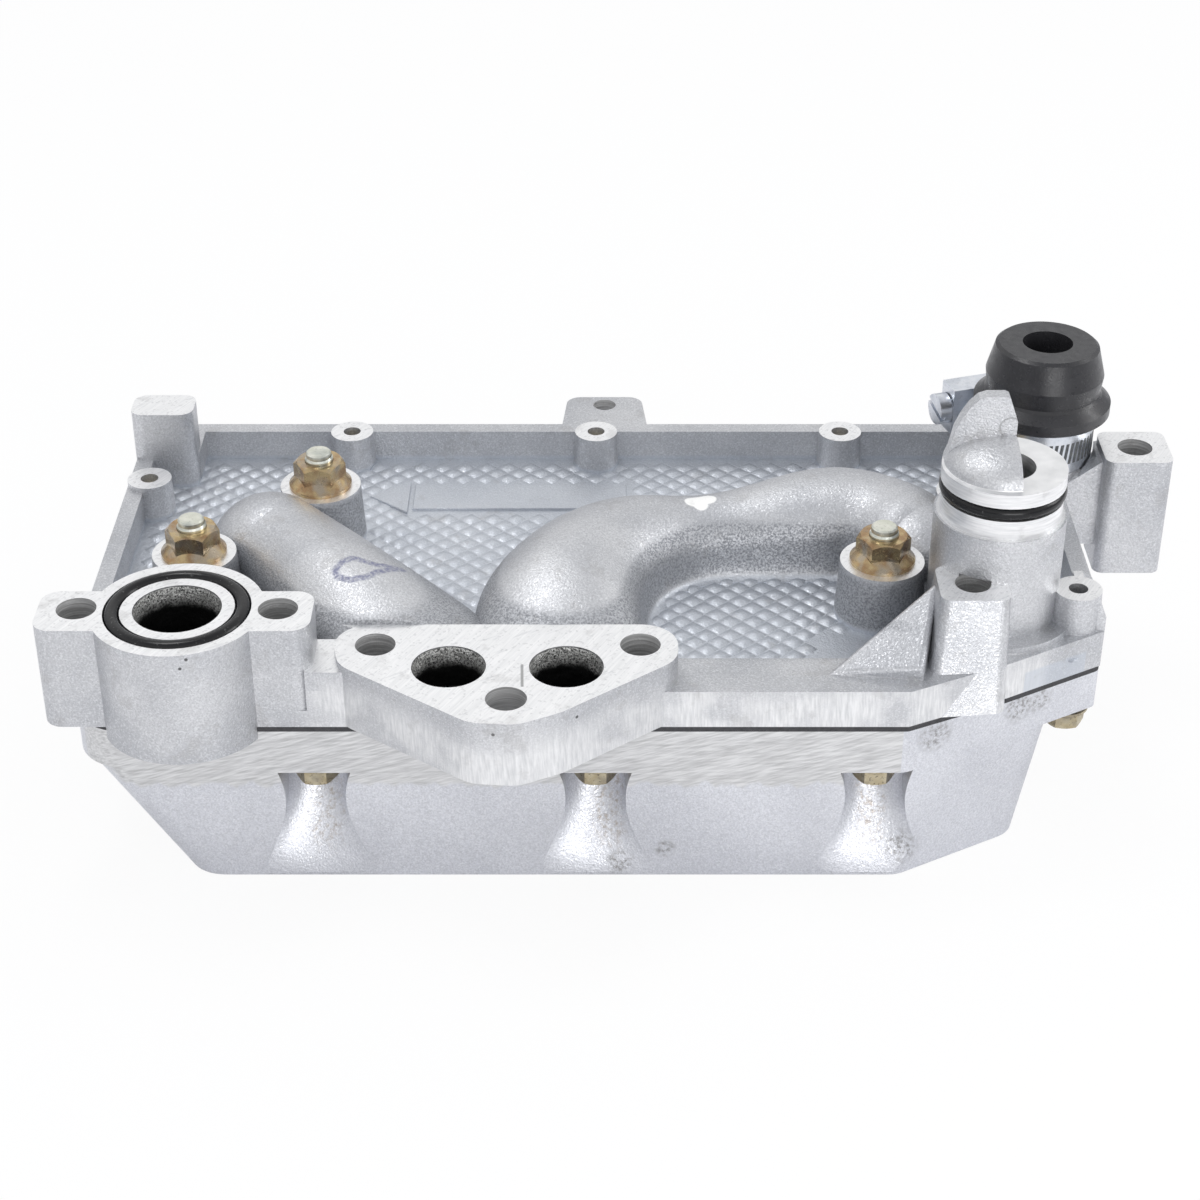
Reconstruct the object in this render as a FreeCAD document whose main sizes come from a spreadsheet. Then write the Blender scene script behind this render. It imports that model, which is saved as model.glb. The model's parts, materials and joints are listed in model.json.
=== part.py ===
import FreeCAD, Part
import Sketcher
import math
import os
import re

from FreeCAD import Placement, Rotation, Vector

# Oil cooler of an engine: two aluminium castings around a brazed plate core.
# Millimetres. The origin is on the cover's flat underside, under the middle of the core.
# X runs along the tray to the spigot, Y to the rear wall, Z up.

doc = FreeCAD.newDocument("oil_cooler")

# Driving dimensions

SIZES = {
    # heights of the stack
    "cover_height": 47.6,
    "cover_flange": 11.7,
    "gasket_thick": 1.5,
    "floor_thick": 5.1,
    "mount_plane": 78.8,
    "wall_top": 63.7,
    "front_rim_top": 60.1,
    "port_rim_top": 66.1,
    "boss_top": 65.3,
    "nut_seat": 71.0,
    # outline of the joint between the castings
    "edge_left": 138.7,
    "edge_right": 135.4,
    "edge_front": 69.2,
    "edge_rear": 72.0,
    "bevel_start": 80.5,
    "bevel_mid_x": 107.9,
    "bevel_mid_y": 56.0,
    "bevel_end_y": 40.3,
    "edge_round": 9.0,
    "front_round": 14.0,
    "bevel_round": 2.5,
    "joint_gap": 0.3,
    "wall_thick": 5.0,
    "rim_width": 15.8,
    # cover tub
    "tub_wall": 4.5,
    "tub_left_top": 134.8,
    "tub_left_foot": 112.0,
    "tub_right_top": 122.0,
    "tub_right_foot": 115.0,
    "tub_corner_top": 47.0,
    "tub_corner_foot": 49.5,
    "tub_draft": 0.3,
    "tub_round": 9.0,
    # bolts of the joint, M6
    "bolt_shank": 6.0,
    "bolt_hole": 6.6,
    "bolt_tap": 5.2,
    "bolt_head": 10.0,
    "bolt_flange": 13.0,
    "bolt_head_height": 6.0,
    "bolt_length": 28.0,
    "bolt_pitch": 74.3,
    "bolt_middle": -1.2,
    "bolt_front_inset": 7.2,
    "bolt_rear_inset": 7.7,
    "bolt_left_inset": 6.2,
    "bolt_right_inset": 7.4,
    "bolt_left_y": 34.9,
    "bolt_right_y": 36.0,
    "bolt_corner_x": 124.0,
    "bolt_head_end": 8.4,
    "boss_radius": 6.4,
    "pocket_half": 9.6,
    "pocket_depth": 16.8,
    "pocket_foot_half": 15.5,
    "side_pocket_radius": 8.6,
    "seat_recess": 1.6,
    # core
    "port_pitch": 182.6,
    "core_middle": -1.7,
    "port_skew": 2.0,
    "port_bore": 19.2,
    "stud_inner_x": 78.7,
    "stud_inner_y": 21.1,
    "stud_outer_x": 109.6,
    "stud_outer_y": 17.0,
    "core_plate_thick": 3.0,
    "cell_count": 6.0,
    "cell_thick": 3.6,
    "cell_gap": 2.0,
    "cell_length": 212.0,
    "cell_width": 72.0,
    "cell_round": 16.0,
    "collar_radius": 14.0,
    "end_plate_thick": 2.0,
    "seal_wire": 2.6,
    "seal_radius": 13.0,
    # studs and nuts, M8
    "stud_thread": 8.0,
    "stud_hole": 8.8,
    "stud_tip": 7.1,
    "stud_top": 81.8,
    "stud_head": 13.0,
    "stud_head_thick": 1.4,
    "nut_hex": 13.0,
    "nut_flange": 17.9,
    "nut_height": 8.0,
    "nut_clearance": 0.1,
    "nut_boss_radius": 11.5,
    "nut_boss_flare": 1.2,
    # galleries
    "gallery_half": 17.8,
    "gallery_crown": 77.8,
    "gallery_wall": 4.6,
    "gallery_neck_half": 12.8,
    "gallery_neck_crown": 72.6,
    "gallery_mouth_half": 17.0,
    "gallery_mouth_crown": 66.4,
    "gallery_foot": 3.0,
    "passage_floor": 52.6,
    "passage_shift": 4.0,
    "blind_top": 55.1,
    # triangular flange
    "tri_top": 68.2,
    "tri_foot": 49.5,
    "tri_lobe": 11.3,
    "tri_hole": 10.6,
    "tri_bore_left": -38.8,
    "tri_bore_right": -8.6,
    "tri_bore_y": -69.5,
    "tri_hole_left": -58.4,
    "tri_hole_right": 10.5,
    "tri_hole_y": -59.2,
    "tri_hole_mid": -23.6,
    "tri_hole_mid_y": -84.1,
    "tri_back": -49.5,
    "tri_round": 9.6,
    # round port
    "port_x": -109.0,
    "port_y": -58.5,
    "port_radius": 22.5,
    "port_bore_water": 23.0,
    "port_foot": 45.5,
    "groove_outer": 38.2,
    "groove_inner": 29.6,
    "groove_depth": 3.0,
    "port_seal_wire": 3.9,
    "ear_pitch": 52.0,
    "ear_hole": 10.4,
    "ear_left": 145.0,
    "ear_right": 74.0,
    "ear_back": 50.0,
    "ear_round": 5.0,
    # spigot
    "spigot_x": 106.2,
    "spigot_y": -29.5,
    "spigot_radius": 17.6,
    "spigot_skirt": 22.5,
    "spigot_skirt_top": 62.0,
    "spigot_step": 91.6,
    "collar_turned": 16.2,
    "seal_height": 99.0,
    "spigot_seal_wire": 3.6,
    "seal_floor": 13.2,
    "disc_top": 105.0,
    "disc_radius": 16.5,
    "spigot_bore": 17.0,
    "throat_bore": 16.4,
    "scoop_plane": 2.6,
    "scoop_height": 8.4,
    "fin_rise": 19.0,
    "fin_thick": 4.0,
    "fin_y": -25.6,
    # nipple, boot and clamp
    "nipple_x": 128.2,
    "nipple_y": 39.0,
    "nipple_shoulder": 72.3,
    "nipple_body": 15.6,
    "nipple_pipe": 10.6,
    "nipple_top": 94.0,
    "nipple_bore": 15.0,
    "boot_top": 107.5,
    "boot_top_radius": 14.8,
    "boot_belly": 16.9,
    "boot_belly_height": 98.6,
    "boot_waist": 16.3,
    "boot_waist_rise": 3.2,
    "boot_bead": 19.65,
    "boot_bead_high": 90.2,
    "boot_bead_low": 86.6,
    "boot_sleeve": 15.0,
    "boot_hole": 14.3,
    "band_width": 12.6,
    "band_thick": 0.8,
    "worm_angle": 108.0,
    "worm_offset": 6.0,
    "worm_radius": 3.4,
    "worm_length": 24.0,
    "worm_head_radius": 4.6,
    "worm_head_length": 3.6,
    "worm_head_reach": 23.0,
    "saddle_length": 22.0,
    "saddle_thick": 8.0,
    "saddle_wall": 0.9,
    "worm_slot": 1.4,
    # lugs
    "lug_x": 97.8,
    "lug_y": -46.0,
    "lug_width": 18.4,
    "lug_depth": 17.5,
    "lug_hole": 9.5,
    "lug_bevel": 3.0,
    "pad_left": 85.0,
    "pad_right": 106.5,
    "pad_front": 65.4,
    "side_lug_x": 154.6,
    "side_lug_y": 29.0,
    "side_lug_width": 19.4,
    "side_lug_depth": 18.9,
    "side_lug_foot": 42.0,
    "side_lug_hole": 10.0,
    "side_web": 9.0,
    "corner_lug_left": 139.5,
    "corner_lug_right": 121.0,
    "corner_lug_front": 49.0,
    "corner_lug_back": 62.0,
    "gusset_tip_x": 58.6,
    "gusset_tip_y": -61.0,
    "gusset_side_x": 84.0,
    "gusset_side_y": -64.0,
    "gusset_side_top": 64.0,
    "gusset_back_x": 90.0,
    "gusset_back_y": -40.6,
    "gusset_back_top": 78.2,
    "gusset_round": 1.5,
    # rear tab
    "tab_x": 1.4,
    "tab_y": 84.9,
    "tab_hole": 7.0,
    "tab_half": 13.4,
    "tab_tip_half": 11.4,
    "tab_reach": 90.2,
    "tab_thick": 8.0,
    "tab_round": 4.5,
}

sheet = doc.addObject("Spreadsheet::Sheet", "sizes")
for row, (alias, number) in enumerate(SIZES.items(), start=1):
    sheet.set("A%d" % row, alias)
    sheet.set("B%d" % row, str(number))
    sheet.setAlias("B%d" % row, alias)
doc.recompute()


class Sizes:
    """Reads a size from the sheet by its name."""

    def __getattr__(self, alias):
        return float(sheet.get(alias))


size = Sizes()


# Helpers: features whose sizes stay tied to the sheet

def formula(text):
    """Put the sheet's name before each size named in a formula."""
    def with_sheet(match):
        word = match.group()
        return "sizes." + word if word in SIZES else word
    return re.sub(r"[a-z][a-z_]*", with_sheet, str(text))


def tie(thing, **formulas):
    """Bind properties of a feature to formulas; two underscores stand for a dot."""
    for name, text in formulas.items():
        thing.setExpression(name.replace("__", "."), formula(text))
    return thing


def place(thing, x="0", y="0", z="0"):
    thing.setExpression("Placement.Base.x", formula(x))
    thing.setExpression("Placement.Base.y", formula(y))
    thing.setExpression("Placement.Base.z", formula(z))
    return thing


def block(name, x, y, z):
    """A box from its low and high edges, given as pairs of formulas."""
    box = doc.addObject("Part::Box", name)
    tie(box, Length="(%s) - (%s)" % (x[1], x[0]), Width="(%s) - (%s)" % (y[1], y[0]),
        Height="(%s) - (%s)" % (z[1], z[0]))
    return place(box, x[0], y[0], z[0])


def post(name, x, y, z, radius):
    """An upright cylinder between two heights."""
    cylinder = doc.addObject("Part::Cylinder", name)
    tie(cylinder, Radius=radius, Height="(%s) - (%s)" % (z[1], z[0]))
    return place(cylinder, x, y, z[0])


def tapered_post(name, x, y, z, low_radius, high_radius):
    cone = doc.addObject("Part::Cone", name)
    tie(cone, Radius1=low_radius, Radius2=high_radius, Height="(%s) - (%s)" % (z[1], z[0]))
    return place(cone, x, y, z[0])


def constrain(sketch, kind, geometry, vertex, text):
    """Tie one coordinate of a sketch's point, or a radius, to a formula."""
    if kind == "Radius":
        number = sketch.addConstraint(Sketcher.Constraint("Radius", geometry, 10.0))
    else:
        point = sketch.getPoint(geometry, vertex)
        start = point.x if kind == "DistanceX" else point.y
        number = sketch.addConstraint(
            Sketcher.Constraint(kind, -1, 1, geometry, vertex, start))
    sketch.setExpression("Constraints[%d]" % number, formula(text))


def draw_polygon(sketch, corners):
    """A closed outline through corners given as pairs of formulas."""
    count = len(corners)
    around = [Vector(50 * math.cos(2 * math.pi * i / count),
                     50 * math.sin(2 * math.pi * i / count), 0) for i in range(count)]
    first = sketch.GeometryCount
    for i in range(count):
        sketch.addGeometry(Part.LineSegment(around[i], around[(i + 1) % count]), False)
    for i in range(count):
        sketch.addConstraint(Sketcher.Constraint(
            "Coincident", first + i, 2, first + (i + 1) % count, 1))
    for i, (across, along) in enumerate(corners):
        constrain(sketch, "DistanceX", first + i, 1, across)
        constrain(sketch, "DistanceY", first + i, 1, along)


def draw_circle(sketch, across, along, radius):
    circle = sketch.addGeometry(Part.Circle(Vector(1, 1, 0), Vector(0, 0, 1), 10.0), False)
    constrain(sketch, "Radius", circle, 0, radius)
    constrain(sketch, "DistanceX", circle, 3, across)
    constrain(sketch, "DistanceY", circle, 3, along)


UPRIGHT = Rotation(Vector(1, 0, 0), 90)


def flat_sketch(name, corners, z="0"):
    """A free polygon sketch at a height."""
    sketch = doc.addObject("Sketcher::SketchObject", name)
    draw_polygon(sketch, corners)
    return place(sketch, z=z)


def extrude(name, sketch, length, direction=Vector(0, 0, 1)):
    prism = doc.addObject("Part::Extrusion", name)
    prism.Base = sketch
    prism.DirMode = "Custom"
    prism.Dir = direction
    prism.Solid = True
    return tie(prism, LengthFwd=length)


def prism(name, corners, z):
    """A prism on a polygon between two heights."""
    return extrude(name, flat_sketch(name + "_outline", corners, z[0]),
                   "(%s) - (%s)" % (z[1], z[0]))


def side_prism(name, corners, y):
    """A prism along Y on a polygon drawn in X and Z."""
    sketch = doc.addObject("Sketcher::SketchObject", name + "_outline")
    draw_polygon(sketch, corners)
    sketch.Placement = Placement(Vector(0, 0, 0), UPRIGHT)
    sketch.setExpression("Placement.Base.y", formula(y[0]))
    return extrude(name, sketch, "(%s) - (%s)" % (y[1], y[0]), Vector(0, 1, 0))


def loft(name, sketches):
    skin = doc.addObject("Part::Loft", name)
    skin.Sections = sketches
    skin.Solid = True
    skin.Ruled = True
    return skin


def fuse(name, pieces):
    union = doc.addObject("Part::MultiFuse", name)
    union.Shapes = pieces
    union.Refine = True
    return union


def cut(name, base, tool):
    result = doc.addObject("Part::Cut", name)
    result.Base = base
    result.Tool = tool
    return result


def common(name, pieces):
    result = doc.addObject("Part::MultiCommon", name)
    result.Shapes = pieces
    return result


def rounded(name, base, radius, wanted=lambda edge: True):
    """Round the upright corner edges of a prism or a loft."""
    doc.recompute()
    picked = []
    for number, edge in enumerate(base.Shape.Edges, start=1):
        ends = [vertex.Point for vertex in edge.Vertexes]
        if len(ends) == 2 and abs(ends[0].z - ends[1].z) > 0.5 and wanted(edge):
            picked.append((number, radius, radius))
    result = doc.addObject("Part::Fillet", name)
    result.Base = base
    result.Edges = picked
    return result


def solid_feature(name, shape):
    """A form that only Part's own functions make, such as a loft through computed sections."""
    feature = doc.addObject("Part::Feature", name)
    feature.Shape = shape
    return feature


def origin_plane(body, role):
    for feature in body.Origin.OriginFeatures:
        if feature.Role == role:
            return feature
    raise ValueError("no plane " + role)


def body_sketch(body, name, role="XY_Plane", height="0"):
    sketch = body.newObject("Sketcher::SketchObject", name)
    sketch.AttachmentSupport = [(origin_plane(body, role), "")]
    sketch.MapMode = "FlatFace"
    sketch.setExpression("AttachmentOffset.Base.z", formula(height))
    return sketch


def turned_body(name, profile, x="0", y="0", z="0"):
    """A turned or moulded ring: a profile of radius and height, revolved about its axis."""
    body = doc.addObject("PartDesign::Body", name)
    sketch = body_sketch(body, name + "_profile", "XZ_Plane")
    draw_polygon(sketch, profile)
    turn = body.newObject("PartDesign::Revolution", name + "_turn")
    turn.Profile = sketch
    turn.ReferenceAxis = (sketch, ["V_Axis"])
    turn.Angle = 360.0
    place(body, x, y, z)
    return body


def ring_body(name, radius, wire, x, y, z):
    """An O-ring: a round section revolved about the upright axis."""
    body = doc.addObject("PartDesign::Body", name)
    sketch = body_sketch(body, name + "_section", "XZ_Plane")
    draw_circle(sketch, radius, "0", "(%s) / 2" % wire)
    turn = body.newObject("PartDesign::Revolution", name + "_turn")
    turn.Profile = sketch
    turn.ReferenceAxis = (sketch, ["V_Axis"])
    turn.Angle = 360.0
    place(body, x, y, z)
    return body


def pad(body, name, sketch, length):
    feature = body.newObject("PartDesign::Pad", name)
    feature.Profile = sketch
    return tie(feature, Length=length)


nodes = []


def keep(thing, label):
    """Make a feature a sub-part under its own name."""
    thing.Label = label
    nodes.append(thing)
    return thing


# Named heights and places

JOINT = "cover_height"
DECK = "cover_height + gasket_thick"
FLOOR = "cover_height + gasket_thick + floor_thick"
SEAT = "cover_height - cover_flange - seat_recess"

# The core's ports and studs lie point by point opposite about its middle
PORT_LEFT = ("core_middle - port_pitch / 2", "port_skew")
PORT_RIGHT = ("core_middle + port_pitch / 2", "-port_skew")
STUDS = [
    ("core_middle - stud_inner_x", "stud_inner_y"),
    ("core_middle - stud_outer_x", "-stud_outer_y"),
    ("core_middle + stud_inner_x", "-stud_inner_y"),
    ("core_middle + stud_outer_x", "stud_outer_y"),
]

FRONT_BOLT_Y = "bolt_front_inset - edge_front"
REAR_BOLT_Y = "edge_rear - bolt_rear_inset"
LEFT_BOLT_X = "bolt_left_inset - edge_left"
RIGHT_BOLT_X = "edge_right - bolt_right_inset"
BOLT_ROW = ["bolt_middle - bolt_pitch", "bolt_middle", "bolt_middle + bolt_pitch"]

FRONT_BOLTS = [(x, FRONT_BOLT_Y) for x in BOLT_ROW]
REAR_BOLTS = [(x, REAR_BOLT_Y) for x in BOLT_ROW]
CORNER_BOLT = ("bolt_corner_x", REAR_BOLT_Y)
LEFT_BOLTS = [(LEFT_BOLT_X, "bolt_left_y"), (LEFT_BOLT_X, "-bolt_left_y")]
RIGHT_BOLT = (RIGHT_BOLT_X, "-bolt_right_y")
ALL_BOLTS = FRONT_BOLTS + REAR_BOLTS + [CORNER_BOLT] + LEFT_BOLTS + [RIGHT_BOLT]

OUTLINE = [
    ("-edge_left", "-edge_front"),
    ("bevel_start", "-edge_front"),
    ("bevel_mid_x", "-bevel_mid_y"),
    ("edge_right", "-bevel_end_y"),
    ("edge_right", "edge_rear"),
    ("-edge_left", "edge_rear"),
]


def holes(name, places, z, radius):
    return [post("%s_%d" % (name, i), x, y, z, radius)
            for i, (x, y) in enumerate(places, start=1)]


def round_joint(name, blank):
    """Round the joint's outline: widely at the left and rear, hardly at the bevel."""
    def at_front_left(edge):
        return edge.CenterOfMass.x < 0 and edge.CenterOfMass.y < 0

    def at_rear(edge):
        return edge.CenterOfMass.y > 0

    def at_bevel(edge):
        return edge.CenterOfMass.x > 0 and edge.CenterOfMass.y < 0

    front = rounded(name + "_front", blank, size.front_round, at_front_left)
    rear = rounded(name + "_rear", front, size.edge_round, at_rear)
    return rounded(name, rear, size.bevel_round, at_bevel)


# Cover: flange, sloped tub, wrench pockets that fade out towards the foot

def tub_outline(side, inset):
    """The tub's outline at its top or foot, moved in by a wall."""
    left = "%s - tub_left_%s" % (inset, side)
    right = "tub_right_%s - %s" % (side, inset)
    draft = "0" if side == "top" else "tub_draft"
    front = "%s + %s - edge_front" % (inset, draft)
    rear = "edge_rear - %s - %s" % (inset, draft)
    return [
        (left, front),
        ("bevel_start - %s / 2" % inset, front),
        (right, "%s - tub_corner_%s" % (inset, side)),
        (right, rear),
        (left, rear),
    ]


def pocket_section(x, wall, outward, z, half, depth, sag):
    """A wrench pocket's outline at a height: straight sides, a bowed back, open to the front."""
    front = wall + outward * size.pocket_foot_half
    back = wall - outward * depth
    shoulder = back + outward * sag
    corners = [Vector(x - half, front, z), Vector(x - half, shoulder, z),
               Vector(x + half, shoulder, z), Vector(x + half, front, z)]
    bow = Part.Arc(corners[1], Vector(x, back, z), corners[2])
    return Part.Wire([Part.makeLine(corners[0], corners[1]), bow.toShape(),
                      Part.makeLine(corners[2], corners[3]),
                      Part.makeLine(corners[3], corners[0])])


def pocket_form(x, wall, outward, grow):
    """A wrench pocket, or with grow the wall round it: deep at the bolt, faded at the foot."""
    seat = size.cover_height - size.cover_flange - size.seat_recess
    narrow = size.pocket_half
    wide = size.pocket_foot_half
    levels = [
        (seat, narrow, size.pocket_depth, 0.45 * size.pocket_depth),
        (seat * 0.47, narrow + 0.1, size.pocket_depth * 0.5, 4.2),
        (seat * 0.25, between(narrow, wide, 0.5), size.pocket_depth * 0.21, 2.2),
        (0.8 if grow == 0 else 0.0, wide, 0.4, 0.3),
    ]
    sections = [pocket_section(x, wall, outward, z, half + grow, depth + grow, sag)
                for z, half, depth, sag in levels]
    form = Part.makeLoft(sections, True, False)
    if grow:
        top = Part.Face(sections[0]).extrude(Vector(0, 0, size.cover_height - seat))
        form = form.fuse(top).removeSplitter()
    return form


def make_cover():
    flange = round_joint("cover_flange_prism", prism(
        "cover_flange_blank", OUTLINE, ("cover_height - cover_flange", JOINT)))
    tub = rounded("cover_tub", loft("cover_tub_blank", [
        flat_sketch("tub_top", tub_outline("top", "0"), "cover_height - cover_flange"),
        flat_sketch("tub_foot", tub_outline("foot", "0"), "0")]), size.tub_round)
    hollow = rounded("cover_hollow_rounded", loft("cover_hollow", [
        flat_sketch("hollow_top", tub_outline("top", "tub_wall"), JOINT),
        flat_sketch("hollow_foot", tub_outline("foot", "tub_wall"), "tub_wall")]),
        size.tub_round - size.tub_wall)
    pockets = []
    columns = []
    for wall, outward in ((-size.edge_front, -1), (size.edge_rear, 1)):
        for step in (-1, 0, 1):
            x = size.bolt_middle + step * size.bolt_pitch
            pockets.append(solid_feature("pocket", pocket_form(x, wall, outward, 0)))
            columns.append(solid_feature("pocket_wall", pocket_form(
                x, wall, outward, size.tub_wall)))
    for i, (x, y) in enumerate(LEFT_BOLTS + [RIGHT_BOLT], start=1):
        pockets.append(post("side_pocket_%d" % i, x, y, ("0", SEAT), "side_pocket_radius"))
        columns.append(post("side_wall_%d" % i, x, y, ("0", JOINT),
                            "side_pocket_radius + tub_wall"))
    pockets.append(post("corner_pocket", *CORNER_BOLT, ("0", SEAT), "side_pocket_radius"))
    columns.append(post("corner_wall", *CORNER_BOLT, ("0", JOINT),
                        "side_pocket_radius + tub_wall"))
    cavity = cut("cover_cavity", hollow, fuse("pocket_walls", columns))
    tools = fuse("cover_tools", [cavity] + pockets
                 + holes("cover_hole", ALL_BOLTS, (SEAT + " - 1", "cover_height + 1"),
                         "bolt_hole / 2"))
    blank = fuse("cover_blank", [flange, tub])
    keep(cut("cover", blank, tools), "cover")


# Gasket: the joint's outline less the cavity it goes round

def make_gasket():
    sheet_blank = round_joint("gasket_rounded", prism(
        "gasket_blank", OUTLINE, (JOINT, DECK)))
    window = rounded("gasket_window_rounded", prism(
        "gasket_window", tub_outline("top", "tub_wall"), (JOINT, DECK)),
        size.tub_round - size.tub_wall)
    pads = [post("gasket_pad_%d" % i, x, y, (JOINT, DECK), "pocket_half + tub_wall")
            for i, (x, y) in enumerate(FRONT_BOLTS + REAR_BOLTS, start=1)]
    pads += [post("gasket_side_pad_%d" % i, x, y, (JOINT, DECK), "side_pocket_radius + tub_wall")
             for i, (x, y) in enumerate(LEFT_BOLTS + [RIGHT_BOLT, CORNER_BOLT], start=1)]
    opening = cut("gasket_opening", window, fuse("gasket_pads", pads))
    tools = fuse("gasket_tools", [opening]
                 + holes("gasket_hole", ALL_BOLTS, (JOINT, DECK), "bolt_hole / 2"))
    keep(cut("gasket", sheet_blank, tools), "housing_gasket")


# Galleries: arched sections along a bent path, a domed end over the core's port

def arch_curve(half, crown, floor, foot):
    """The upper outline of a gallery's section, as a curve in its own plane."""
    spring = max(floor + foot, crown - half)
    points = [Vector(half + foot, floor + 0.2, 0), Vector(half + foot / 3, floor + foot / 3, 0),
              Vector(half, floor + foot, 0)]
    for step in range(1, 8):
        turn = math.pi * step / 8
        points.append(Vector(half * math.cos(turn),
                             spring + (crown - spring) * math.sin(turn), 0))
    mirrored = [Vector(-point.x, point.y, 0) for point in reversed(points[:3])]
    curve = Part.BSplineCurve()
    curve.interpolate(points + mirrored)
    return curve


def section_placement(x, y, heading):
    """Stand a section up across a path that heads in a plan direction."""
    return Placement(Vector(x, y, 0), Rotation(Vector(0, 0, 1), heading - 90)).multiply(
        Placement(Vector(0, 0, 0), UPRIGHT))


def arch_wire(x, y, heading, half, crown, floor, foot):
    curve = arch_curve(half, crown, floor, foot)
    first = curve.StartPoint
    last = curve.EndPoint
    deep = floor - 1.0
    wire = Part.Wire([
        curve.toShape(),
        Part.makeLine(last, Vector(last.x, deep, 0)),
        Part.makeLine(Vector(last.x, deep, 0), Vector(first.x, deep, 0)),
        Part.makeLine(Vector(first.x, deep, 0), first)])
    wire.Placement = section_placement(x, y, heading)
    return wire


def arch_dome(x, y, half, crown, floor, foot):
    """The rounded end of a gallery: its section turned about an upright axis."""
    curve = arch_curve(half, crown, floor, foot)
    middle = (curve.FirstParameter + curve.LastParameter) / 2
    half_curve = curve.copy()
    half_curve.segment(curve.FirstParameter, middle)
    first = half_curve.StartPoint
    top = half_curve.EndPoint
    deep = floor - 1.0
    outline = Part.Wire([
        half_curve.toShape(),
        Part.makeLine(top, Vector(0, deep, 0)),
        Part.makeLine(Vector(0, deep, 0), Vector(first.x, deep, 0)),
        Part.makeLine(Vector(first.x, deep, 0), first)])
    face = Part.Face(outline)
    face.Placement = Placement(Vector(x, y, 0), UPRIGHT)
    return face.revolve(Vector(x, y, 0), Vector(0, 0, 1), 360)


def headings(stations):
    """The plan direction of a path at each of its stations, in degrees."""
    result = []
    last = len(stations) - 1
    for i in range(len(stations)):
        before = stations[max(i - 1, 0)]
        after = stations[min(i + 1, last)]
        result.append(math.degrees(math.atan2(after[1] - before[1], after[0] - before[0])))
    return result


def gallery_solid(stations, floor, foot):
    """A gallery's outer form through stations of x, y, half width and crown height."""
    wires = [arch_wire(x, y, heading, half, crown, floor, foot)
             for (x, y, half, crown), heading in zip(stations, headings(stations))]
    tube = Part.makeLoft(wires, True, False)
    x, y, half, crown = stations[-1]
    return tube.fuse(arch_dome(x, y, half, crown, floor, foot)).removeSplitter()


def passage_solid(stations):
    """The round oil passage inside a gallery, under its crown and above the tray floor."""
    rings = []
    for (x, y, half, crown), heading in zip(stations, headings(stations)):
        radius = (crown - size.gallery_wall - size.passage_floor) / 2
        ring = Part.Wire(Part.makeCircle(radius, Vector(0, size.passage_floor + radius, 0)))
        ring.Placement = section_placement(x, y, heading)
        rings.append(ring)
    return Part.makeLoft(rings, True, True)


def plan(pair):
    """The place of a port, as numbers."""
    x = size.core_middle + (size.port_pitch / 2 if pair is PORT_RIGHT else -size.port_pitch / 2)
    y = -size.port_skew if pair is PORT_RIGHT else size.port_skew
    return x, y


def between(start, end, share):
    return start + (end - start) * share


def left_stations():
    """From the left bore of the triangular flange to the core's left port."""
    x_end, y_end = plan(PORT_LEFT)
    x_start, y_start = size.tri_bore_left, size.tri_bore_y
    half = size.gallery_half
    crown = size.gallery_crown - 1
    return [
        (x_start, y_start + 7, size.gallery_mouth_half, size.gallery_mouth_crown),
        (x_start - 8, y_start + 20, half + 3.6, size.gallery_mouth_crown + 2),
        (x_start - 22, y_start + 34, half + 3.2, crown - 2.5),
        (x_start - 38, y_start + 52.5, half + 0.8, crown),
        (x_end, y_end, half - 0.6, crown),
    ]


def right_stations():
    """From the right bore of the flange back, round a wide bend and along to the right port."""
    x_end, y_end = plan(PORT_RIGHT)
    x_start, y_start = size.tri_bore_right, size.tri_bore_y
    mouth = size.gallery_mouth_crown
    bend = size.gallery_half + 5.0
    neck = size.gallery_neck_half
    half = size.gallery_half
    crown = size.gallery_crown
    return [
        (x_start, y_start + 7, size.gallery_mouth_half, mouth),
        (x_start - 1.5, y_start + 20, bend - 0.6, mouth + 2),
        (x_start - 1.5, y_start + 43, bend, crown - 1),
        (x_start + 7.5, y_start + 62.5, bend - 3, crown - 1),
        (x_start + 22, y_start + 74, half - 1.5, crown - 3),
        (x_start + 37, y_start + 78, neck, size.gallery_neck_crown),
        (x_start + 54, y_start + 81, neck + 1.6, size.gallery_neck_crown + 2),
        (x_end - 22, y_end + 16.5, half - 0.6, crown),
        (x_end - 8, y_end + 10, half - 0.4, crown),
        (x_end, y_end, half - 1.0, crown - 1),
    ]


# Housing: cast blank, then what is machined into it

TRI_OUTLINE = [
    ("tri_hole_left - 12.7", "tri_back"),
    ("tri_hole_right + 9.8", "tri_back"),
    ("tri_hole_right + 9.8", "tri_hole_y - 7"),
    ("tri_hole_mid + 14", "tri_hole_mid_y - 6"),
    ("tri_hole_mid + 3", "tri_hole_mid_y - 11.5"),
    ("tri_hole_mid - 9", "tri_hole_mid_y - 10.5"),
    ("tri_hole_left - 9", "tri_hole_y - 9.5"),
]


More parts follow.
